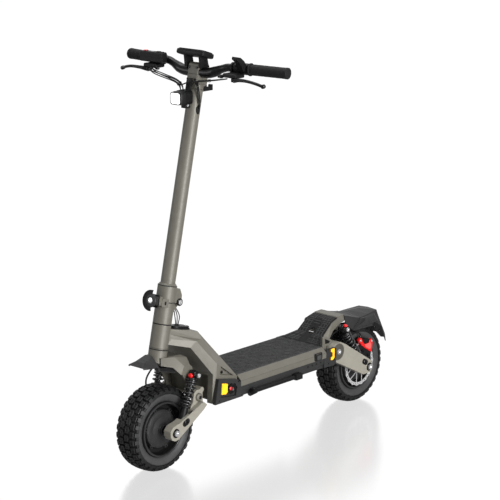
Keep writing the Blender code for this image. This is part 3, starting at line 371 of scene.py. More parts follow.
def flat_shape(outlines, low, high, to_plane):
    """Flat outlines with holes, filled and thickened, as a mesh."""
    curve = bpy.data.curves.new("flat", 'CURVE')
    curve.dimensions = '2D'
    curve.fill_mode = 'BOTH'
    curve.extrude = (high - low) / 2
    for outline in outlines:
        spline = curve.splines.new('POLY')
        spline.points.add(len(outline) - 1)
        for point, (u, v) in zip(spline.points, outline):
            point.co = (u, v, 0, 1)
        spline.use_cyclic_u = True
    guide = into_scene("flat", curve)
    bpy.context.view_layer.update()
    mesh = bpy.data.meshes.new_from_object(guide.evaluated_get(bpy.context.evaluated_depsgraph_get()))
    bpy.data.objects.remove(guide, do_unlink=True)
    mesh.transform(to_plane @ move((0, 0, (low + high) / 2)))
    bm = bmesh.new()
    bm.from_mesh(mesh)
    bmesh.ops.remove_doubles(bm, verts=bm.verts, dist=1e-6)
    return mesh_of(bm)


FACE_X = Matrix(((0, 0, 1, 0), (1, 0, 0, 0), (0, 1, 0, 0), (0, 0, 0, 1)))


def add_bolt(bm, centre, direction, radius, height, sides=20):
    """A cap screw head with its hexagonal socket."""
    place = axis_frame(centre, direction)
    add_turned(bm, [(radius * 0.55, 0.0), (radius, 0.0), (radius, height * 0.75), (radius * 0.86, height),
        (radius * 0.5, height), (radius * 0.5, height * 0.45), (0.0002, height * 0.45), (0.0002, 0.0)], place, sides)


def bolts(name, places, mat, body, radius, height):
    """Screw heads at (centre, direction) places; radius and height are in millimetres."""
    bm = bmesh.new()
    for centre, direction in places:
        add_bolt(bm, centre, direction, radius / 1000, height / 1000)
    return show(name, bm, mat, body)


# ---- camera, floor and light
camera = into_scene("camera", bpy.data.cameras.new("camera"))
camera.data.lens = 137.6
camera.data.sensor_width = 36
camera.data.clip_end = 60
camera.location = Vector((3.7365, -4.1487, 1.9211)) + SHIFT
camera.rotation_euler = Vector((-0.6537, 0.7196, -0.2344)).to_track_quat('-Z', 'Y').to_euler()
bpy.context.scene.camera = camera

floor_mesh = bpy.data.meshes.new("floor")
floor_mesh.from_pydata([(-12, -12, 0), (12, -12, 0), (12, 12, 0), (-12, 12, 0)], [], [(0, 1, 2, 3)])
floor = into_scene("floor", floor_mesh)
floor.location.z = -0.0004
# The floor glows a plain white for the camera, and mirrors softly what stands on it.
shine = bpy.data.materials.new("white_floor")
shine.use_nodes = True
tree = shine.node_tree
tree.nodes.remove(tree.nodes["Principled BSDF"])
glow = add_node(tree, "Emission")
seen_directly = add_node(tree, "MapRange", To_Min=0.3, To_Max=1.22)
mirror = add_node(tree, "BsdfGlossy")
haze = add_node(tree, "MapRange", To_Min=0.19, To_Max=0.25)
mixed = add_node(tree, "MixShader")
mixed.inputs[0].default_value = 0.42
for source, target in ((add_node(tree, "TexNoise").outputs["Fac"], haze.inputs["Value"]),
        (haze.outputs[0], mirror.inputs["Roughness"]), (add_node(tree, "LightPath").outputs["Is Camera Ray"],
        seen_directly.inputs["Value"]), (seen_directly.outputs[0], glow.inputs["Strength"]),
        (glow.outputs[0], mixed.inputs[1]), (mirror.outputs[0], mixed.inputs[2]),
        (mixed.outputs[0], tree.nodes["Material Output"].inputs["Surface"])):
    tree.links.new(source, target)
floor_mesh.materials.append(shine)

# A grey sky with a white band low behind the scooter, where the floor mirrors it.
world = bpy.data.worlds.new("studio")
bpy.context.scene.world = world
world.use_nodes = True
sky = world.node_tree
behind = add_node(sky, "VectorMath")
behind.operation = 'DOT_PRODUCT'
behind.inputs[1].default_value = (-0.6537, 0.7196, 0.2344)
band = add_node(sky, "MapRange", From_Min=0.5, From_Max=0.78, To_Min=0.36, To_Max=1.0)
band.interpolation_type = 'SMOOTHSTEP'
whiter = add_node(sky, "Math")
whiter.operation = 'MAXIMUM'
sky.links.new(add_node(sky, "TexCoord").outputs["Generated"], behind.inputs[0])
sky.links.new(behind.outputs["Value"], band.inputs["Value"])
sky.links.new(band.outputs[0], whiter.inputs[0])
sky.links.new(add_node(sky, "LightPath").outputs["Is Camera Ray"], whiter.inputs[1])
sky.nodes["Background"].inputs["Color"].default_value = (1, 1, 1, 1)
sky.links.new(whiter.outputs[0], sky.nodes["Background"].inputs["Strength"])


def light(name, place, target, size, power):
    data = bpy.data.lights.new(name, 'AREA')
    data.shape = 'RECTANGLE'
    data.size, data.size_y = size
    data.energy = power
    lamp = into_scene(name, data)
    lamp.location = place
    lamp.rotation_euler = (Vector(target) - Vector(place)).to_track_quat('-Z', 'Y').to_euler()


light("key", (4.2, -1.0, 1.3), (0, 0, 0.4), (2.0, 2.4), 240)
light("top", (-0.2, -0.2, 3.6), (0, 0, 0.4), (2.2, 2.2), 54)
light("fill", (-2.8, -3.4, 1.5), (0, 0, 0.6), (1.2, 2.0), 16)
bpy.context.scene.view_settings.view_transform = 'Standard'

# ---- carried-over CAD pieces
# The swing arms take the lighter olive copy: painted light on their sides.
REFINED = ((OLIVE, 2.2, 7, "neck_frame"), (OLIVE, 0.8, 7, "deck_frame"), (OLIVE, 0, 7, "footrest fork"),
    (OLIVE, 1, 0, "steerer_head stem"), (OLIVE_PAINTED_LIGHT, 1.2, 0, "front_swingarm rear_swingarm"),
    (FENDER, 0.8, 7, "belly_cover"), (BLACK, 1, 0, "neck_top_cover kickstand stem_hook throttle_paddle"),
    (SEAM_AND_SHADE, 0, 0, "headset"), (BLACK, 0.8, 0, "headlight display lever_perch_left lever_perch_right"),
    (FENDER, 0, 4, "front_fender"), (FENDER, 0, 3, "rear_fender"), (GRIP, 0.6, 0, "charge_port_cap"),
    (AMBER, 1.2, 0, "front_lens_left front_lens_right"), (AMBER, 1, 0, "rear_lens_left rear_lens_right"),
    (BLACK, 0.6, 0, "switch_pod"), (MAT, 0.6, 7, "deck_mat"))
for mat, width, crisp, nodes in REFINED:
    for node in nodes.split():
        finished = refine(node, mat, width, crisp)
        if node == "belly_cover":
            # The rear corner blocks end level with the rail's chamfer.
            for vertex in finished.data.vertices:
                if vertex.co.y > 0.186:
                    vertex.co.z = min(vertex.co.z, 0.239)
RECOLOURED = ((BLUE, "battery_pack"), (ALLOY, "motor_controller"), (CHROME,
    "fold_pin front_axle_stator rear_axle_stator"), (RED, "horn_button front_caliper rear_caliper"),
    (GLOSS, "handlebar brake_lever_left brake_lever_right"), (BLACK, "fold_knob"), (GRIP, "grip_left grip_right"),
    (CABLE, "control_cables"), (TYRE, "front_tyre rear_tyre"), (HUB, "front_hub_motor rear_hub_motor"),
    (DISC, "front_brake_disc rear_brake_disc"), *((GLOSS,
    f"{end}_shock_{word}_damper {end}_shock_{word}_rod {end}_shock_{word}_spring") for end in ("front", "rear")
    for word, side in SIDES))
for mat, nodes in RECOLOURED:
    for node in nodes.split():
        NODES[node].data.materials.clear()
        NODES[node].data.materials.append(mat)

# ---- wheels
PITCHES = 32
# Rows of knobs on one half of the tyre: shift in pitches, radius, distance from the middle, tilt in degrees, and the
# block's length, width, height and chamfer in millimetres, and the size of its dimple as a share.
KNOB_ROWS = ((0, 120.2, 9.8, 4, 18.4, 15.4, 6.9, 1.2, 0.46), (0.5, 117.8, 25.8, 20, 17.6, 13, 6.7, 1.2, 0.42),
    (0.5, 112, 35.3, 66, 13.4, 13, 5, 1, 0), (0, 109.5, 36.7, 74, 10.4, 9, 3.4, 0.8, 0))
LUG_ANGLES = [k * tau / 6 + 0.35 for k in range(6)]
VALVE_ANGLE = -0.9
DISC_X = 0.04365
DISC_RADIUS, SCALLOP, SCALLOPS = 0.0692, 0.0012, 18


def add_knob(bm, place, length, width, height, chamfer, dimple):
    """A rubber block with chamfered edges and a shallow square dimple; Z is its height."""
    def ring(scale_x, scale_y, z):
        return [bm.verts.new(place @ at(sx * scale_x / 2, sy * scale_y / 2, z))
            for sx, sy in ((-1, -1), (1, -1), (1, 1), (-1, 1))]
    rings = [ring(width + 1.2, length + 1.2, -4), ring(width, length, height - chamfer),
        ring(width - 2 * chamfer, length - 2 * chamfer, height)]
    if dimple:
        rings.append(ring(width * dimple, length * dimple, height))
        rings.append(ring(width * dimple * 0.8, length * dimple * 0.8, height - 1.6))
    for low, high in zip(rings, rings[1:]):
        for k in range(4):
            j = (k + 1) % 4
            bm.faces.new((low[k], low[j], high[j], high[k]))
    bm.faces.new(rings[-1])


def tread(name, axle, body, cad_node):
    bm = bmesh.new()
    # Radius and half width of the carcass, from the bead to the crown.
    carcass = mm((83, 28.5), (86, 32), (93, 35.8), (100, 37.8), (106, 38), (111, 36.2), (115.5, 32.5), (118.5, 27),
        (120, 18), (120.7, 0))
    profile = carcass + [(r, -x) for r, x in reversed(carcass[:-1])]
    profile += mm((80, -24), (78, 0), (80, 24))
    add_turned(bm, profile, move(axle) @ rot(pi / 2, 'Y'), 72)
    for k in range(PITCHES):
        for half, side in ((0, 1), (0.5, -1)):
            for shift, radius, x, tilt, *block in KNOB_ROWS:
                spin = rot((k + half + shift) * tau / PITCHES, 'X')
                lean = rot(side * radians(tilt), 'Y')
                add_knob(bm, move(axle) @ spin @ move(at(side * x, 0, radius)) @ lean, *block)
    show(name, bm, TYRE, body, replaces=[cad_node])


def rim_and_motor(end, axle, body, disc_side):
    """Rim lips, recess, dished motor cover with its six lugs, and the valve."""
    along = move(axle) @ rot(pi / 2, 'Y')
    shell = mm((7.9, 41.5), (15, 41.5), (15.8, 40.5), (15.8, 35), (17.2, 33.5), (17.2, 26.2), (20, 24.5), (30, 26.2),
        (40, 26.8), (48, 25.8), (50.5, 25.2), (51.2, 25.8), (52.5, 25.4), (53.3, 24.6), (55.6, 24), (57, 22.2),
        (57.6, 16), (60, 10.5), (71.5, 10.5), (74.8, 15), (75.6, 33), (76.4, 36))
    profile = shell + [(r, -x) for r, x in reversed(shell)]
    profile += mm((7.9, -33), (50, -23), (50, 23), (7.9, 33))
    bm = bmesh.new()
    add_turned(bm, profile, along, 96)
    lug = mm((-6.5, 54.5), (-5.2, 62.8), (-3, 64.5), (3, 64.5), (5.2, 62.8), (6.5, 54.5))
    screws = []
    for angle in LUG_ANGLES:
        for side in (1, -1):
            add_prism(bm, lug, side * 0.017, side * 0.0238, move(axle) @ rot(angle, 'X'))
            screws.append((axle + Matrix.Rotation(angle, 3, 'X') @ at(side * 23.7, 0, 60.5), (side, 0, 0)))
    show(end + "_motor_cover", bm, HUB, body, replaces=[end + "_hub_motor"], smooth=25)
    bolts(end + "_motor_cover_screws", screws, GLOSS, body, 2.6, 1.6)
    turned(end + "_axle_collar", mm((8.2, 41), (15, 41), (15, 44), (12, 45), (12, 56), (10.8, 57.2), (8.2, 57.2)),
        axle, (-disc_side, 0, 0), GLOSS, end + "_arm", 40)
    # A thin near-black layer over the recess: painted shade in it.
    recess_shade = mm((57.8, 16), (60, 10.8), (71.6, 10.8), (74.7, 14.8), (75.4, 32), (75, 32.2), (74, 15.6), (71.2, 11.5),
        (60.4, 11.5), (58.2, 16.6))
    lip = mm((76.4, 34.5), (76.4, 36.8), (77.6, 37.8), (80.6, 37.8), (81.8, 36.6), (82.6, 31), (81.5, 25), (77, 25))
    # A band on the tyre's sidewall, lighter than the tread: painted broad highlight.
    band = mm((83.8, 30.2), (86.2, 32.5), (93, 36.4), (99, 38.3), (103.5, 38.8), (105, 38), (105, 34), (85, 29))
    for word, side in SIDES:
        for part, ring, mat, smooth in (("recess_painted_shade", recess_shade, SEAM_AND_SHADE, 40), ("rim_lip", lip, LIP, 25),
                ("sidewall", band, SIDEWALL_PAINTED_HIGHLIGHT, 50)):
            bm = bmesh.new()
            add_turned(bm, [(r, side * x) for r, x in ring], along, 96)
            show(f"{end}_{part}_{word}", bm, mat, body, smooth=smooth)
    bm = bmesh.new()
    turn = Matrix.Rotation(VALVE_ANGLE, 3, 'X')
    start = axle + turn @ at(-disc_side * 24, 0, 74.5)
    tip = axle + turn @ at(-disc_side * 35, 0, 70)
    add_rod(bm, start, tip, 2.6, 12)
    add_rod(bm, start.lerp(tip, 0.7), tip + (tip - start) * 0.12, 3.4, 12)
    show(end + "_tyre_valve", bm, GRIP, body)


def brake_disc(end, axle, body, side):
    """A thin scalloped ring on six pairs of splayed spokes."""
    def spot(radius, degrees):
        return polar(radius, radians(degrees))

    turns = [tau * k / 216 for k in range(216)]
    rim = [polar(DISC_RADIUS + SCALLOP * cos(SCALLOPS * angle), angle) for angle in turns]
    outlines = [rim, ring_points(0.016, 32)]
    for mid in range(0, 360, 60):
        outlines.append([spot(0.0275, mid)] + [spot(0.0598, mid - 16 + 32 * j / 6) for j in range(7)])
        outlines.append([spot(0.0255, mid + 54 - 12 * j) for j in range(5)]
            + [spot(0.0598, mid + 18.5 + 23 * j / 6) for j in range(7)])
    for k in range(36):
        mid = 10 * k + 5
        lean = 1.6 if k % 2 else -1.6
        outlines.append([spot(0.0622, mid - lean - 1.5), spot(0.0622, mid - lean + 1.5),
            spot(0.0672, mid + lean + 1.3), spot(0.0672, mid + lean - 1.3)])
    mesh = flat_shape(outlines, side * DISC_X - 0.0009, side * DISC_X + 0.0009, move(axle) @ FACE_X)
    show(end + "_disc", mesh, DISC, body, replaces=[end + "_brake_disc"], smooth=20)
    mount = mm((7.9, 33), (22.5, 33), (22.5, 42.8), (15.2, 42.8), (15.2, 44), (7.9, 44))
    turned(end + "_disc_mount", mount, axle, (side, 0, 0), HUB, body)
    bolts(end + "_disc_bolts", [(axle + Vector((side * 0.0442, *spot)), (side, 0, 0))
        for spot in ring_points(0.0195, 6, start=0.5)], GLOSS, body, 2.8, 1.8)


for end, axle, disc_side in (("front", FRONT_AXLE, -1), ("rear", REAR_AXLE, 1)):
    wheel_body = end + "_wheel"
    tread(end + "_knobbly_tyre", axle, wheel_body, end + "_tyre")
    rim_and_motor(end, axle, wheel_body, disc_side)
    brake_disc(end, axle, wheel_body, disc_side)

# ---- shock absorbers
SHOCK_X = 0.065
COIL_RADIUS, WIRE_RADIUS = 0.0142, 0.0026
# For each end: top eye, foot bolt, turns of the coil, stroke, and length of the leg below the coil.
SHOCKS = {"front": (at(0, -350, 279), at(0, -402, 150), 6.5, 0.008, 0.044),
    "rear": (at(0, 325, 274), at(0, 415, 148.5), 8.0, 0.0121, 0.03)}


def shock(end, word, side):
    top, foot, turns, stroke, leg = SHOCKS[end]
    reach = Vector((side * SHOCK_X, 0, 0))
    top, foot = top + reach, foot + reach
    down = (foot - top).normalized()
    length = (foot - top).length
    name = f"{end}_shock_{word}"
    first, last = 0.0215, length - leg - 0.004
    frame_here = axis_frame(top, down)

    profile = mm((0.3, -11), (6, -12.5), (9.2, -11), (11, -6), (11.2, 6), (9, 10), (9, 13), (16, 14.2), (16.8, 15.2),
        (16.8, 19), (16, 20.2), (11.2, 20.5), (10.8, 21.5), (10.8, 29), (8.2, 31))
    profile += [(0.0082, length * 0.6), (0.0078, length * 0.61), (0.0064, length * 0.612), *mm((6.4, 40), (0.3, 40))]
    bm = bmesh.new()
    add_turned(bm, profile, frame_here, 32)
    for side_x in (1, -1):
        add_rod(bm, top + at(side_x * 4, 0, 0), top + at(side_x * 9.2, 0, 0), 11.8, 28)
    show(name + "_body", bm, GLOSS, f"{end}_shock_body", replaces=[name + "_damper"], smooth=28)
    bm = bmesh.new()
    for level in (23.5, 25.5, 27.5):
        ring = mm((10.6, level - 0.6), (12.4, level - 0.4), (12.4, level + 0.4), (10.6, level + 0.6))
        add_turned(bm, ring, frame_here, 28)
    show(name + "_preload_rings", bm, BLACK, f"{end}_shock_body")

    seat = length - leg
    lower = [(0.0003, length * 0.6 - 0.018), (0.0058, length * 0.6 - 0.018), (0.0058, seat - 0.001),
        (0.016, seat - 0.001), (0.0168, seat), (0.0168, seat + 0.003), (0.0155, seat + 0.0042),
        (0.0112, seat + 0.005), (0.0112, length - 0.012), (0.0095, length - 0.004), (0.0003, length - 0.003)]
    bm = bmesh.new()
    add_turned(bm, lower, frame_here, 32)
    add_rod(bm, foot - at(8.8, 0, 0), foot + at(8.8, 0, 0), 10, 28)
    show(name + "_lower_leg", bm, BLACK, f"{end}_shock_rod", replaces=[name + "_rod"], smooth=28)

    across = Vector((1, 0, 0))
    beside = down.cross(across)
    count = int(turns * 20)
    helix = []
    for k in range(count + 1):
        t = k / count
        # The end coils lie closed on their seats.
        lead = t - 0.055 * sin(tau * t)
        angle = tau * turns * t
        helix.append(top + down * (first + (last - first) * lead) + (across * cos(angle) + beside * sin(angle))
            * COIL_RADIUS)
    bm = bmesh.new()
    add_tube(bm, helix, WIRE_RADIUS)
    spring = show(name + "_coil", bm, SPRING, f"{end}_shock_body", replaces=[name + "_spring"], smooth=80)
    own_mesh(spring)


for end in SHOCKS:
    for word, side in SIDES:
        shock(end, word, side)

# ---- small shapes used by the trim
FACE_Y = Matrix(((1, 0, 0, 0), (0, 0, 1, 0), (0, 1, 0, 0), (0, 0, 0, 1)))


def round_box(half_u, half_v, radius, centre=(0, 0), steps=6):
    """A rectangle's outline with rounded corners; all lengths are in millimetres."""
    points = []
    for quarter, (su, sv) in enumerate(((1, 1), (-1, 1), (-1, -1), (1, -1))):
        corner = (centre[0] + su * (half_u - radius), centre[1] + sv * (half_v - radius))
        for k in range(steps + 1):
            points.append(polar(radius, radians(90 * quarter + 90 * k / steps), corner))
    return mm(*points)


def plate(name, outlines, low, high, to_plane, mat, body, **options):
    """A flat plate with holes; it runs from low to high, in millimetres, along the plane's own Z."""
    low, high = sorted((low / 1000, high / 1000))
    return show(name, flat_shape(outlines, low, high, to_plane), mat, body, **options)


def hex_nut(bm, centre, direction, radius, height):
    place = axis_frame(centre, direction)
    add_turned(bm, [(0.0003, 0.0008), (radius, 0.0008), (radius, height * 0.85), (radius * 0.9, height),
        (0.0003, height)], place, 6)
    add_turned(bm, [(0.0003, height * 0.8), (radius * 0.5, height * 0.8), (radius * 0.5, height * 1.35),
        (radius * 0.42, height * 1.45), (0.0003, height * 1.45)], place, 18)


def nut(name, centre, direction, radius, height, mat, body):
    """A hexagonal nut on its bolt end; radius and height are in millimetres."""
    bm = bmesh.new()
    hex_nut(bm, centre, direction, radius / 1000, height / 1000)
    return show(name, bm, mat, body, smooth=28)


# ---- suspension trim
for end, carrier, axle, pivot in (("front", "steering", FRONT_AXLE, at(0, -333, 207)),
        ("rear", "chassis", REAR_AXLE, at(0, 275, 214))):
    top, foot = SHOCKS[end][:2]
    down = (foot - top).normalized()
    arm = end + "_arm"
    for word, side in SIDES:
        out = Vector((side, 0, 0))
        knob_at = (top + at(side * 66, -10, -1) if end == "front" else top + at(side * 73.5, 3, 6))
        turned(f"{end}_shock_{word}_adjuster", mm((0.3, 0), (6.4, 0), (7.2, 1.6), (6.6, 3), (7.2, 4.4), (6, 6.8),
            (3.6, 8), (0.3, 8.2)), knob_at, (side * 0.25, -1, 0.05) if end == "front" else (side * 0.2, 0.25, 1), RED,
            end + "_shock_body", 28, smooth=50)
        nut(f"{end}_shock_{word}_top_nut", top + out * 0.0838, out, 7.2, 5.6, CHROME, carrier)
        turned(f"{end}_shock_{word}_top_washer", mm((5.2, 0), (9.4, 0), (9.4, 1.2), (5.2, 1.2)), top + out * 0.0832,
            out, GLOSS, carrier, 28)
        bolts(f"{end}_shock_{word}_foot_bolt", [(foot + out * 0.0856, out)], GLOSS, arm, 8.2, 3.4)
        nut(f"{end}_axle_{word}_nut", axle + out * 0.0868, out, 9.6, 6.4, CHROME, arm)
        turned(f"{end}_axle_{word}_washer", mm((7, 0), (13.6, 0), (13.8, 0.8), (13, 1.4), (7, 1.4)),
            axle + out * 0.0854, out, GLOSS, arm, 36)
        if end == "front":
            turned(f"front_pivot_{word}_cap", mm((0.3, 0), (12.2, 0), (12.6, 2), (11, 5.2), (6, 6.6), (0.3, 6.6)),
                pivot + out * 0.0688, out, OLIVE, "steering", 32, smooth=50)
            bolts(f"front_pivot_{word}_screw", [(pivot + out * 0.0752, out)], GLOSS, "steering", 4.8, 2)
        else:
            turned(f"rear_pivot_{word}_shadow_ring", mm((9, 0), (26.2, 0), (26.6, 0.4), (25.6, 1.2), (9.6, 1.2),
                (9, 0.6)), pivot + out * 0.0914, out, OLIVE_DARK, arm, 48)
            turned(f"rear_pivot_{word}_head", mm((0.3, 0), (7.8, 0), (8.4, 1), (8.4, 3.6), (7.4, 4.8), (4.4, 4.8),
                (4, 3), (0.3, 3)), pivot + out * 0.0916, out, CHROME, "chassis", 32)
        # A near-black plate round each foot bolt: painted shade in the arm's slot.
        slot_turn = move(foot) @ rot(radians(-28 if end == "rear" else 24), 'X') @ FACE_X
        plate(f"{end}_arm_{word}_slot_shade", [round_box(15, 9, 9), ring_points(0.0082, 24)], side * 85.3, side * 86.1,
            slot_turn, SEAM_AND_SHADE, arm)

# ---- calipers and their brackets
CALIPER = mm((-35.5, 17), (-27, 25), (-19, 21.5), (-16, 13), (-6, 1), (3, -1), (18, 0), (21.5, 8), (29, 12),
    (36.5, 3), (34, -17), (29, -33), (19, -27), (-2, -14), (-20, -1))
HOUSING = mm((-17, 15), (-10, 18), (20, 13), (24, 6), (18, -4), (-6, -3))
# Outline of the painted highlight on the caliper's outer face.
CALIPER_HIGHLIGHT = mm((-6, -2), (2, -1), (22, 1), (27, -7), (25, -20), (17, -21), (-1, -10.5))
BRACKET = mm((-30, -6), (-20, 2), (19, -25), (33, -34), (30, -52), (12, -60), (-6, -52), (-20, -30))
for end, axle, side, turn in (("front", FRONT_AXLE, -1, 107), ("rear", REAR_AXLE, 1, 0)):
    arm = end + "_arm"
    out = Vector((side, 0, 0))
    # Drawn above and behind the rear axle, then turned about the axle to where it sits.
    place = move(axle) @ rot(radians(turn), 'X') @ move((0, 0.017, 0.0665)) @ FACE_X

    def held(u, v, x):
        return place @ Vector((u, v, side * x))

    plate(f"{end}_caliper_body", [CALIPER], side * 46.2, side * 56, place, RED, arm, bevel=1.4,
        replaces=[f"{end}_caliper"])
    plate(f"{end}_caliper_back", [[(u * 0.86, v * 0.86) for u, v in CALIPER]], side * 33, side * 41, place, BLACK,
        arm, bevel=1.2)
    plate(f"{end}_caliper_housing", [HOUSING], side * 45.5, side * 54, place, GLOSS, arm, bevel=1.4)
    # A lighter red plate on the caliper's outer face: painted highlight.
    plate(f"{end}_caliper_painted_highlight", [CALIPER_HIGHLIGHT], side * 55.6, side * 57.4, place, RED_PAINTED_HIGHLIGHT, arm, bevel=0.6)
    plate(f"{end}_caliper_bracket", [BRACKET], side * 48.2, side * 52, place, BLACK, arm, bevel=1)
    bolts(f"{end}_caliper_bolts", [(held(u, v, 0.0518), out) for u, v in ((-0.012, -0.0223), (0.017, -0.0416))],
        GLOSS, arm, 5, 4)
    bolts(f"{end}_caliper_bridge_bolts", [(held(u, v, 0.056), out) for u, v in ((-0.027, 0.016), (0.029, 0.004))],
        CHROME, arm, 3.6, 2.6)
    turned(f"{end}_hose_nipple", mm((2, 0), (4.6, 0), (5, 2), (4, 3.4), (4.4, 6), (3, 9), (2, 9)),
        held(-0.02, 0.0215, 0.051), (place.to_3x3() @ Vector((-0.2, 1, 0))), GLOSS, arm, 20)

# ---- creases of the rear fender, with painted shade along them
for word, side in SIDES:
    # A raised rear panel whose front edge slopes down to the flat front of the side.
    rim = mm((56, 379, 256), (56.2, 456, 253.5), (49, 528, 252), (42, 513, 283), (47, 442, 284.2))
    crown = mm((60, 396, 259), (60, 454, 257), (53, 518, 256), (47.5, 506, 279), (54, 450, 280))
    bm = bmesh.new()
    low = [bm.verts.new((side * x, y, z)) for x, y, z in rim]
    high = [bm.verts.new((side * x, y, z)) for x, y, z in crown]
    peak = bm.verts.new(at(side * 60, 442, 274))
    for k in range(5):
        bm.faces.new((low[k], low[(k + 1) % 5], high[(k + 1) % 5], high[k]))
        bm.faces.new((high[k], high[(k + 1) % 5], peak))
    bm.faces.new(low)
    show(f"rear_fender_{word}_panel", bm, FENDER, "chassis", smooth=2)
    # A darker band along each crease: painted shade on the face turned away from the light.
    plate(f"rear_fender_{word}_crease_painted_shade", [mm((377, 256.5), (395, 256.5), (450, 283.5), (433, 285))], side * 50,
        side * 60.6, FACE_X, FENDER_SHADE, "chassis", bevel=0.4)
plate("footrest_left_pocket", [mm((197.5, 231), (198.5, 276.2), (212.1, 276.4), (246.9, 256.9), (237.1, 247.9),
    (214, 245), (208, 231)), mm((207.7, 269.8), (235, 256.9), (230.3, 251.5), (210.2, 252.8))], 87, 91.5, FACE_X,
    OLIVE, "chassis", bevel=0.8)
plate("footrest_left_pocket_back", [mm((206.5, 271), (237, 257.5), (231, 250.5), (209, 251.8))], 86.8, 88.2, FACE_X,
    BLACK, "chassis")

# ---- brake hoses between the frame and the arms
hose = tube("rear_brake_hose", mm((48, 215, 215), (56, 250, 240), (52, 300, 262), (51, 350, 268), (50, 400, 252),
    (51, 434, 228)), 0.0026, CABLE, None)
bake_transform(hose, "chassis", "rear_arm", Vector((0.050, 0.25, 0.24)) + SHIFT, Vector((0.0545, 0.42, 0.225)) + SHIFT)
hose = tube("front_brake_hose", mm((-30, -370, 308), (-48, -395, 292), (-56, -420, 260), (-56, -422, 230),
    (-54.5, -412, 205)), 0.0026, CABLE, None)
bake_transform(hose, "steering", "front_arm", Vector((-0.048, -0.395, 0.292)) + SHIFT,
         Vector((-0.0545, -0.412, 0.205)) + SHIFT)

# ---- deck mat ribs
def mat_height(y):
    """Top of the mat along the deck and up the ramp, and its half width there."""
    rows = mm((-188.9, 86.2, 244.9), (200.4, 86.2, 244.9), (245, 52.5, 265.3), (290, 50, 299.8), (318, 47.5, 307.8))
    for (y0, w0, z0), (y1, w1, z1) in zip(rows, rows[1:]):
        if y <= y1:
            t = (y - y0) / (y1 - y0)
            return w0 + (w1 - w0) * t, z0 + (z1 - z0) * t
    return rows[-1][1:]


def mat_strip(bm, start, end, half, height):
    """A trapezoid rib on the mat between two (x, y) points; its half width and height are in millimetres."""
    half, height = half / 1000, height / 1000
    start, end = Vector(start), Vector(end)
    along = (end - start).normalized()
    across = Vector((-along.y, along.x))
    loops = []
    for place in (start, end):
        base = mat_height(place.y)[1]
        for offset, up in ((-half, -0.0003), (-half * 0.6, height), (half * 0.6, height), (half, -0.0003)):
            loops.append(bm.verts.new((place.x + across.x * offset, place.y + across.y * offset, base + up)))
    for k in range(4):
        j = (k + 1) % 4
        bm.faces.new((loops[k], loops[j], loops[4 + j], loops[4 + k]))
    bm.faces.new(loops[:4])
    bm.faces.new(loops[4:])


bm = bmesh.new()
for k in range(27):
    x = -0.078 + k * 0.006
    mat_strip(bm, (x, -0.185), (x, 0.1985), 1, 0.6)
for side in (1, -1):
    mat_strip(bm, (side * 0.0838, -0.188), (side * 0.0838, 0.199), 1.6, 1.1)
mat_strip(bm, (-0.085, -0.1872), (0.085, -0.1872), 1.6, 1.1)
for k, (y0, y1) in enumerate(((0.2035, 0.244), (0.246, 0.289), (0.291, 0.317))):
    inner = min(mat_height(y0)[0], mat_height(y1)[0]) - 0.006
    for j in range(9):
        x = -inner + 2 * inner * j / 8
        # The ribs stop at the hook hole.
        if k == 2 or abs(x) >= 0.014:
            spread = (mat_height(y0)[0] - 0.006) / inner if k == 0 else 1.0
            mat_strip(bm, (x * spread, y0), (x, y1), 1, 0.6)
show("deck_mat_fine_ribs", bm, RIB, "chassis", smooth=20)
bm = bmesh.new()
for row in range(13):
    y = -0.17 + row * 0.029
    for column in range(4):
        x = -0.066 + column * 0.04 + (0.02 if row % 2 else 0.0)
        if abs(x) > 0.074:
            continue
        for bar in range(4):
            mat_strip(bm, (x - 0.0085, y + bar * 0.0056), (x + 0.0085, y + bar * 0.0056), 1.6, 2)
for k in range(19):
    y = 0.207 + k * 0.006
    edge = mat_height(y)[0] - 0.01
    for side in (1, -1):
        if k % 4 != 3:
            mat_strip(bm, (side * 0.016, y), (side * edge, y), 1.4, 1.8)
for y in (0.276, 0.284, 0.298, 0.306):
    mat_strip(bm, (-0.012, y), (0.012, y), 1.4, 1.8)
show("deck_mat_cross_bars", bm, RIB, "chassis", smooth=20)
turned("hook_hole_edge", mm((9.8, -12), (11.6, -12), (12.4, 1.6), (11.6, 2.4), (10, 2)), (0, 0.252, 0.268),
    (0, -0.6, 0.8), BLACK, "chassis", 36)
bm = bmesh.new()
for low, high, radius in ((-11, 11, 1.6), (-11.2, -8.8, 2.6), (8.8, 11.2, 2.6)):
    add_rod(bm, at(low, 252, 266.5), at(high, 252, 266.5), radius, 14)
show("hook_hole_pin", bm, CHROME, "chassis")

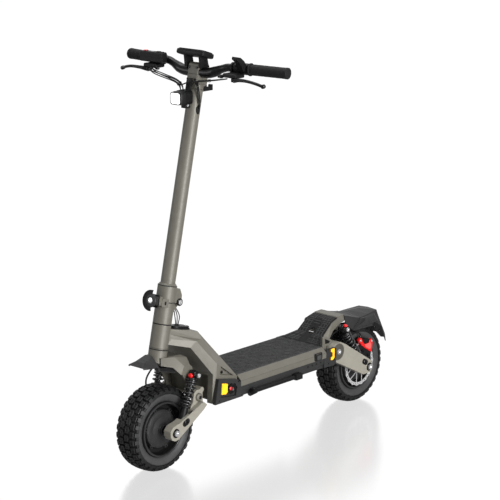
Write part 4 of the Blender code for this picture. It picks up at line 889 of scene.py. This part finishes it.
# ---- deck sides: lamps, charge port, screws, notches
for word, side in SIDES:
    out = Vector((side, 0, 0))
    centre = (-0.2255, 0.213)
    hexagon = ring_points(0.0165, 6, centre, radians(25))
    plate(f"lamp_{word}_hexagon_rim", [hexagon, ring_points(0.0112, 28, centre)], side * 97.6, side * 101.6, FACE_X,
        SEAM_AND_SHADE, "chassis", bevel=0.5)
    place = Vector((side * 0.0976, *centre))
    turned(f"lamp_{word}_reflector", mm((0.3, 0.2), (5, 0.6), (8, 1.8), (9.4, 2.8), (10.2, 2.8), (10.2, -0.4),
        (0.3, -0.4)), place, out, GLOSS, "chassis", 28)
    turned(f"lamp_{word}_side_bulb", mm((0.3, 0), (5, 0), (5.4, 1.6), (3.6, 3), (0.3, 3.4)),
        place + at(side * 0.8, -3, 1.6), out, RED, "chassis", 20, smooth=60)
    bm = bmesh.new()
    for k in range(5):
        y = -0.268 + k * 0.005
        add_prism(bm, [(y - 0.0008, 0.2085), (y + 0.0008, 0.2083), (y + 0.0008, 0.2335), (y - 0.0008, 0.234)],
            side * 0.1034, side * 0.1042)
    show(f"front_lens_{word}_flutes", bm, AMBER, "chassis", bevel=0.2)
    # Small near-black wedges along the skirt: painted shade in its notches.
    bm = bmesh.new()
    for k in range(4):
        y = 0.11 + k * 0.02
        add_prism(bm, [(y, 0.2015), (y + 0.009, 0.2015), (y + 0.0045, 0.2075)], side * 0.103, side * 0.104)
    show(f"skirt_{word}_notch_shade", bm, SEAM_AND_SHADE, "chassis", bevel=0.3)
    bm = bmesh.new()
    add_prism(bm, mm((-188, 229.4), (199, 229.4), (199, 230.2), (-188, 230.2)), side * 0.1048, side * 0.1053)
    show(f"rail_{word}_shade_line", bm, OLIVE_DARK, "chassis", bevel=0.2)
    bolts(f"neck_{word}_pocket_screw", [(at(side * 80, -248, 265.5), out)], GLOSS, "chassis", 4.8, 2.2)
    bolts(f"lamp_{word}_screws", [(Vector((side * 0.1044, y, z)), out) for y, z in ((-0.188, 0.19), (-0.283, 0.19),
        (-0.2, 0.231))], GLOSS, "chassis", 2.6, 1)
    bolts(f"rear_corner_{word}_screws", [(Vector((side * 0.1044, 0.209, z)), out) for z in (0.193, 0.236)], GLOSS,
        "chassis", 2.6, 1)

plate("charge_port_bezel", [round_box(18.5, 11.8, 5.5, (161, 225.7)), round_box(13.4, 10.4, 3, (161, 224.5))], 104.6,
    105.7, FACE_X, BLACK, "chassis", bevel=0.3)
plate("charge_cap_window", [round_box(9.8, 7, 4, (161, 224))], 108.8, 109.8, FACE_X, RIB, "charge_cap", bevel=0.3)

# ---- kickstand
bm = bmesh.new()
for k in range(6):
    y = 0.0415 + k * 0.0046
    add_box(bm, (0.1048, y, 0.1808), (0.1232, y + 0.0022, 0.1992))
show("kickstand_foot_ribs", bm, GRIP, "kickstand", bevel=0.6)
bm = bmesh.new()
lean = Vector((0.857, 0.0, 0.515)).normalized()
stand = at(114, -145, 190)
add_turned(bm, mm((0.3, 0), (7.2, 0), (7.8, 1), (6.6, 2.6), (0.3, 2.8)), axis_frame(stand + lean * 0.0088, lean), 24)
show("kickstand_pivot_screw", bm, GLOSS, "chassis")

# ---- fenders
for word, side in SIDES:
    out = Vector((side, 0, 0))
    bm = bmesh.new()
    add_prism(bm, mm((490, 250), (498, 233), (535, 200), (550, 196), (542, 223), (520, 248), (505, 254)),
        side * 0.0515, side * 0.0548)
    show(f"flap_bracket_{word}", bm, BLACK, "chassis", bevel=1.2)
    bolts(f"flap_bracket_{word}_screws", [(at(side * 54.8, 502, 239.5), out), (at(side * 54.8, 527, 222.5), out)],
        GLOSS, "chassis", 4.4, 2.2)
    bolts(f"front_fender_{word}_screw", [(at(side * 15, -415, 304.5), (0, -0.15, 1))], GLOSS, "steering", 3.4, 2)

# ---- folding joint
def on_stem(x, y, z):
    return STEER @ Vector((x, y, z))


HINGE = (0.034, 0.509)
KNOB_HEIGHT = 0.508
STEM_TURN = STEER.to_3x3()
forwards = STEM_TURN @ Vector((0, -1, 0))
upwards = STEM_TURN @ Vector((0, 0, 1))
# Thin dark rings round the stem and the head tube: painted shade lines at their edges.
for name, profile, mat, body in (("sleeve_top_line", mm((27.4, 551.5), (28.4, 552), (28.5, 553.2), (27.6, 554.5)),
        SEAM_AND_SHADE, "stem"), ("sleeve_foot_line", mm((27.4, 505.4), (28.4, 505.6), (28.5, 507), (27.6, 507.6)), SEAM_AND_SHADE,
        "stem"), ("tube_top_ring", mm((20.8, 1118), (22.2, 1118.6), (22.2, 1120.4), (20.8, 1121)), OLIVE_DARK,
        "stem"), ("head_tube_low_line", mm((27, 370.5), (28, 371.2), (28, 372.6), (27, 373.2)), OLIVE_DARK,
        "chassis")):
    turned(name, profile, on_stem(0, 0, 0), upwards, mat, body, 64)
bm = bmesh.new()
for side in (1, -1):
    pin = on_stem(0, *HINGE)
    outwards = STEM_TURN @ Vector((side, 0, 0))
    add_turned(bm, mm((7.8, 23), (11.2, 23), (11.4, 26.2), (10.4, 27.6), (8, 27.6)), axis_frame(pin, outwards), 32)
show("hinge_collars", bm, BLACK, "stem")
bolts("hinge_bolt_heads", [(on_stem(side * 0.0284, *HINGE), STEM_TURN @ Vector((side, 0, 0))) for side in (1, -1)],
    CHROME, "steering", 6.8, 1.6)

front_plane = STEER @ FACE_Y
plate("latch_plate", [round_box(17.5, 18.5, 6, (-2, 507))], -45.8, -40, front_plane, BLACK, "stem", bevel=1.2)
tab_plane = STEER @ rot(radians(46), 'Z') @ FACE_Y
plate("latch_tab", [round_box(9.5, 12, 3, (0, 504)), round_box(2.4, 5.2, 2.3, (0.5, 503.5))], -31.2, -26.2, tab_plane,
    OLIVE, "stem", bevel=0.6)
# A near-black plate in the tab's keyhole: painted shade in the hole.
plate("latch_tab_keyhole_shade", [round_box(2.8, 5.6, 2.6, (0.5, 503.5))], -29, -27, tab_plane, SEAM_AND_SHADE, "stem")
knob_base = on_stem(0, -0.0463, KNOB_HEIGHT)
turned("clamp_knob", mm((0.3, 0), (15, 0), (16.5, 2), (16.5, 9.6), (19.2, 10.4), (20, 11.6), (20, 13.8), (19, 15.2),
    (10.4, 15.6), (9.2, 14.6), (0.3, 14.6)), knob_base, forwards, HUB, "fold_knob", 48, replaces=["fold_knob"])
turned("clamp_knob_screw", mm((0.3, 14.4), (7.8, 14.4), (8.4, 15.2), (8, 16.4), (4, 16.7), (3.4, 15.8), (0.3, 15.8)),
    knob_base, forwards, CHROME, "fold_knob", 32)


def half_ring(outer, inner, first, last, steps=28):
    """A band about the clamp knob's axis, from the first to the last of two angles in degrees."""
    angles = [radians(first + (last - first) * k / steps) for k in range(steps + 1)]
    centre = (0.0012, KNOB_HEIGHT)
    return [polar(outer, a, centre) for a in angles] + [polar(inner, a, centre) for a in reversed(angles)]


plate("clamp_knob_wing", [half_ring(0.03, 0.0175, 84, 276)], -62.2, -58.8, front_plane, BLACK, "fold_knob", bevel=0.8)
plate("clamp_knob_wing_edge", [half_ring(0.0304, 0.0272, 84, 276)], -64, -58, front_plane, BLACK, "fold_knob",
    bevel=0.9)

# Three thin cables leave the clamp and enter the neck cover.
for k, dx in enumerate((-0.0034, 0.0, 0.0034)):
    strand = tube(f"neck_cable_{k}", [(dx * 1.4, -0.366, 0.476), (dx * 1.8, -0.357, 0.464),
        (dx * 2.2, -0.351 + 0.002 * k, 0.442), (dx * 1.6, -0.35, 0.42), (dx, -0.3525, 0.403)], 0.0015, CABLE, None)
    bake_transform(strand, "steering", "chassis", on_stem(0, 0.042, 0.490) + SHIFT, Vector((0, -0.352, 0.404)) + SHIFT)
slope = atan2(0.4175 - 0.397, 0.408 - 0.312)
cover = move((0, -0.345, 0.4046)) @ rot(-slope, 'X')
plate("neck_cover_gasket", [round_box(22.5, 38.5, 22.2), round_box(19.5, 35, 19.2)], 0.2, 2.6, cover, SEAM_AND_SHADE, "chassis")
bm = bmesh.new()
add_turned(bm, mm((5.2, 7), (8.5, 7.6), (8.5, 9.2), (6.6, 10.4), (5.2, 9.8)), cover @ move((0, -0.008, 0)), 32)
show("neck_cover_grommet", bm, GRIP, "chassis")
bolts("neck_cover_screws", [(cover @ Vector((0, y, 0.0078)), cover.to_3x3() @ Vector((0, 0, 1)))
    for y in (-0.029, 0.027)], CHROME, "chassis", 2.6, 1.4)

# ---- head of the stem
block = mm((-24.6, -17.5), (-19, -23.1), (19, -23.1), (24.6, -17.5), (24.6, 18.5), (19, 24.1), (-19, 24.1),
    (-24.6, 18.5))
bm = bmesh.new()
add_prism(bm, block, 1.16, 1.1609, STEER, "XY")
show("head_block_split", bm, SEAM_AND_SHADE, "stem")
bolts("head_block_screws", [(on_stem(x, 0.0236, s), STEM_TURN @ Vector((0, 1, 0))) for x in (-0.015, 0.015)
    for s in (1.145, 1.179)] + [(on_stem(x, -0.0226, s), forwards) for x in (-0.015, 0.015) for s in (1.145, 1.179)],
    GLOSS, "stem", 3.6, 2.2)

bm = bmesh.new()
half = [at(0, -260, 1142), at(42, -260, 1142.5), at(66, -259.5, 1147.5), at(100, -256, 1160), at(127, -252, 1164.6),
    at(215, -235.6, 1163.3), at(304, -219.2, 1162)]
route = curve_through([Vector((-p.x, p.y, p.z)) for p in reversed(half[1:])] + half, 10)
add_tube(bm, route, lambda t: 0.0115 + 0.0036 * max(0.0, min(1.0, (0.235 - abs(t - 0.5)) / 0.06)), 28)
show("handlebar_tube", bm, GLOSS, "stem", replaces=["handlebar"], smooth=60)

KNEE, TIP = at(127, -252, 1164.6), at(305, -219, 1162)


def bar_at(x, side=1):
    place = KNEE.lerp(TIP, (x - KNEE.x) / (TIP.x - KNEE.x))
    return Vector((side * place.x, place.y, place.z))


def knurl(bm, place, length, radius, depth, around=56, pitch=0.0016):
    """A grip's skin with staggered raised pads."""
    rows = []
    count = int(length / pitch)
    for j in range(count + 1):
        row = []
        for k in range(around):
            raised = (k // 2 + j // 2) % 2 and j % 12 > 1
            r = radius + (depth if raised else 0.0)
            angle = tau * k / around
            row.append(bm.verts.new(place @ Vector((*polar(r, angle), length * j / count))))
        rows.append(row)
    for low, high in zip(rows, rows[1:]):
        for k in range(around):
            j = (k + 1) % around
            bm.faces.new((low[k], low[j], high[j], high[k]))


for word, side in SIDES:
    start, end = bar_at(0.187, side), bar_at(0.305, side)
    along = (end - start).normalized()
    reach = (end - start).length + 0.004
    frame_here = axis_frame(start, along)
    bm = bmesh.new()
    knurl(bm, frame_here @ move((0, 0, 0.005)), reach - 0.013, 0.015, 0.0008)
    add_turned(bm, mm((11.9, 0), (17.8, 0), (18.4, 1), (18.4, 3.4), (17.4, 5), (15, 5.6), (11.9, 5.6)), frame_here,
        40)
    add_turned(bm, [(0.0119, reach - 0.0084), (0.015, reach - 0.0084), (0.0162, reach - 0.0074),
        (0.0162, reach - 0.001), (0.0152, reach), (0.01, reach), (0.0092, reach - 0.0008), (0.0003, reach - 0.0008),
        (0.0003, reach - 0.006), (0.0119, reach - 0.006)], frame_here, 40)
    show(f"grip_{word}_rubber", bm, GRIP, "stem", replaces=[f"grip_{word}"], smooth=40)

    # The lever: a hub, a curved blade that thins outwards and a ring at its tip.
    pivot = at(side * 168, -285, 1137)
    blade = curve_through([pivot, (side * 0.18, -0.2905, 1.1385), (side * 0.195, -0.2935, 1.14),
        (side * 0.225, -0.296, 1.1405), (side * 0.252, -0.2925, 1.1365), (side * 0.271, -0.2865, 1.1308)], 6)
    bm = bmesh.new()
    add_tube(bm, blade, lambda t: 0.008 - 0.0036 * sin(min(1.0, t * 1.4) * pi / 2), 14)
    add_turned(bm, mm((0.3, -5), (8.8, -5), (9.5, -4), (9.5, 4), (8.8, 5), (0.3, 5)), move(pivot), 32)
    add_turned(bm, mm((2.6, -3.4), (6, -4), (7.6, 0), (6, 4), (2.6, 3.4)),
        axis_frame((side * 0.2755, -0.285, 1.13), (0, -0.4, 1)), 24)
    show(f"brake_lever_{word}_blade", bm, GLOSS, f"brake_lever_{word}", replaces=[f"brake_lever_{word}"], smooth=45)
    bolts(f"brake_lever_{word}_pin", [(pivot - at(0, 0, 4.8), (0, 0, -1))], CHROME, f"brake_lever_{word}", 4.2, 1.8)
    turned(f"cable_adjuster_{word}", mm((2, 0), (5.2, 0.4), (5.6, 2), (4.8, 3), (5.6, 4.2), (4.8, 5.4), (5.6, 6.6),
        (5, 9), (3.6, 10), (3.4, 15), (2, 15.4)), (side * 0.131, -0.292, 1.145), (-side, -0.3, -0.12), GLOSS, "stem",
        24)
    clamp_at = bar_at(0.152, side)
    bolts(f"perch_{word}_clamp_screws", [(clamp_at + at(0, -16, 11), (0, -1, 0)),
        (clamp_at + at(0, 16.2, 0), (0, 1, 0))], GLOSS, "stem", 3.2, 2.2)
    bm = bmesh.new()
    for low, high in ((-9.2, -8.6), (8.6, 9.2)):
        add_turned(bm, mm((12.5, low), (16.8, low), (16.8, high), (12.5, high)), axis_frame(clamp_at, along), 32)
    show(f"perch_{word}_edges", bm, GLOSS, "stem")

bm = bmesh.new()
for k in range(3):
    y, z = -0.27 - 0.0066 * k, 1.1945 + 0.0032 * k
    add_rod(bm, (0.1655, y, z - 0.001), (0.1825, y, z - 0.001), 1.2, 10)
show("throttle_ribs", bm, GRIP, "throttle")
turned("throttle_clamp", mm((11.8, 0), (15.8, 0), (16.4, 0.8), (16.4, 5.2), (15.8, 6), (11.8, 6)),
    bar_at(0.113 + 0.0165), bar_at(0.2) - bar_at(0.14), BLACK, "stem", 36)

# Switch box: window, toggles and the line between its halves.
top_face = move((0, 0, 1.188))
plate("switch_window", [round_box(8.5, 6.8, 2, (-156, -280))], -0.4, 0.8, top_face, SCREEN, "stem", bevel=0.3)
plate("switch_toggle", [round_box(6.8, 5.2, 2.4, (-132, -280))], -0.4, 2.2, top_face, GRIP, "stem", bevel=0.6)
plate("switch_slider", [round_box(5, 3, 1.4, (-117, -280))], -0.4, 1.8, top_face, GRIP, "stem", bevel=0.5)
plate("switch_box_seam", [round_box(45.7, 12.2, 3, (-153.5, -280))], 0, 0.7, move((0, 0, 1.1722)), SEAM_AND_SHADE, "stem")
turned("horn_well_rim", mm((6.2, -0.2), (7.8, -0.2), (7.6, 1), (6.4, 1.2)), (-0.184, -0.28, 1.188), (0, 0, 1), GLOSS,
    "stem", 32)

# ---- display
display = move((0, -0.2665, 1.1945)) @ rot(radians(-18), 'X')
plate("display_glass", [round_box(45.5, 19.2, 8)], 7.8, 8.6, display, SCREEN, "stem", bevel=0.3)
plate("display_rim", [round_box(50, 22.6, 10.5), round_box(46.2, 19.9, 8.5)], 7.6, 9.2, display, BLACK, "stem",
    bevel=0.4)
plate("display_side_band", [round_box(52.8, 25.3, 12), round_box(51.5, 24, 11)], -1.2, 1.2, display, GLOSS, "stem")
bolts("display_leg_screws", [(Vector((side * 0.0328, -0.259, z)), (side, 0, 0)) for side in (1, -1)
    for z in (1.164, 1.176)], GLOSS, "stem", 2.8, 1.4)

# ---- headlight
lamp_plane = move((0, 0, 1.075)) @ FACE_Y
plate("headlight_lens", [round_box(17.2, 14.8, 6)], -348.4, -346, lamp_plane, LAMP, "stem", bevel=0.8)
plate("headlight_rim", [round_box(20.4, 17.8, 8.4), round_box(17.4, 15, 6.2)], -348.2, -345.5, lamp_plane, GLOSS,
    "stem", bevel=0.5)
bm = bmesh.new()
for k in range(5):
    y = -0.323 + k * 0.0052
    add_prism(bm, round_box(22.6, 20, 8.8, (0, 1075)), y, y + 0.0018, plane="XZ")
show("headlight_fins", bm, BLACK, "stem", bevel=0.3)
bolts("headlight_foot_screws", [(at(side * 8.8, -308, 1052), (side, 0, 0)) for side in (1, -1)], CHROME, "stem", 4,
    2.2)
bm = bmesh.new()
add_prism(bm, mm((-316, 1044), (-316, 1048), (-286, 1048), (-286, 1044)), -0.0085, 0.0085)
add_prism(bm, mm((-298.5, 1093), (-294.5, 1093), (-287, 1127), (-291, 1128)), -0.01, 0.01)
add_prism(bm, mm((-316, 1093), (-294.5, 1093), (-294.5, 1096.5), (-316, 1096.5)), -0.01, 0.01)
show("headlight_bracket", bm, BLACK, "stem", bevel=0.8)
bolts("headlight_bracket_screws", [(at(0, -293.5, 1112), (0, -0.98, 0.2)), (at(0, -291.2, 1122), (0, -0.98, 0.2))],
    GLOSS, "stem", 3, 2)

# ---- control cables
RIGHT_RUN = mm((-150, -296.5, 1140), (-118, -308, 1134.5), (-75, -313, 1128), (-36, -312, 1120), (-16, -311, 1109),
    (-10, -310, 1093))
LEFT_RUN = mm((150, -296.5, 1140), (110, -301, 1133), (66, -298.5, 1126), (34, -293, 1120), (28, -285, 1100),
    (28.5, -279, 1060), (25, -278.5, 1040))
LINK_RUN = mm((34, -293, 1120), (12, -301, 1119), (-14, -308, 1109), (-24, -308.5, 1110))


def strands(name, run, count, spread, radius, **options):
    """A bundle: each strand winds slowly round the run."""
    middle = curve_through(run, 8)
    bm = bmesh.new()
    for n in range(count):
        shifted = []
        for k, place in enumerate(middle):
            angle = tau * n / count + 1.4 * k / len(middle)
            ahead = (middle[min(k + 1, len(middle) - 1)] - middle[max(k - 1, 0)]).normalized()
            side = ahead.cross(Vector((0, 0, 1))).normalized()
            shifted.append(place + (side * cos(angle) + side.cross(ahead) * sin(angle)) * spread)
        add_tube(bm, shifted, radius, 10)
    show(name, bm, CABLE, "stem", smooth=60, **options)
    return middle


right = strands("cables_right", RIGHT_RUN, 4, 0.005, 0.0016, replaces=["control_cables"])
left = strands("cables_left", LEFT_RUN, 2, 0.0019, 0.0018)
strands("cable_link", LINK_RUN, 1, 0.0, 0.002)
bm = bmesh.new()
for route, k, size in ((right, 30, 0.0066), (left, 12, 0.004), (left, 26, 0.004)):
    add_turned(bm, [(size, -0.0012), (size + 0.001, -0.0012), (size + 0.001, 0.0012), (size, 0.0012)],
        axis_frame(route[k], route[k + 1] - route[k - 1]), 20)
show("cable_ties", bm, GRIP, "stem")
bm = bmesh.new()
grommet = [(-0.2785 + 0.0072 * cos(tau * k / 24), 1.036 + 0.012 * sin(tau * k / 24)) for k in range(24)]
add_prism(bm, grommet, 0.018, 0.0236)
show("stem_grommet", bm, GRIP, "stem", bevel=1.2)
bolts("stem_hook_screws", [(at(0, -226.2, 1118), (0, 1, 0.1)), (at(0, -224, 1106), (0, 1, 0.1))], GLOSS, "stem", 3.2,
    1.8)
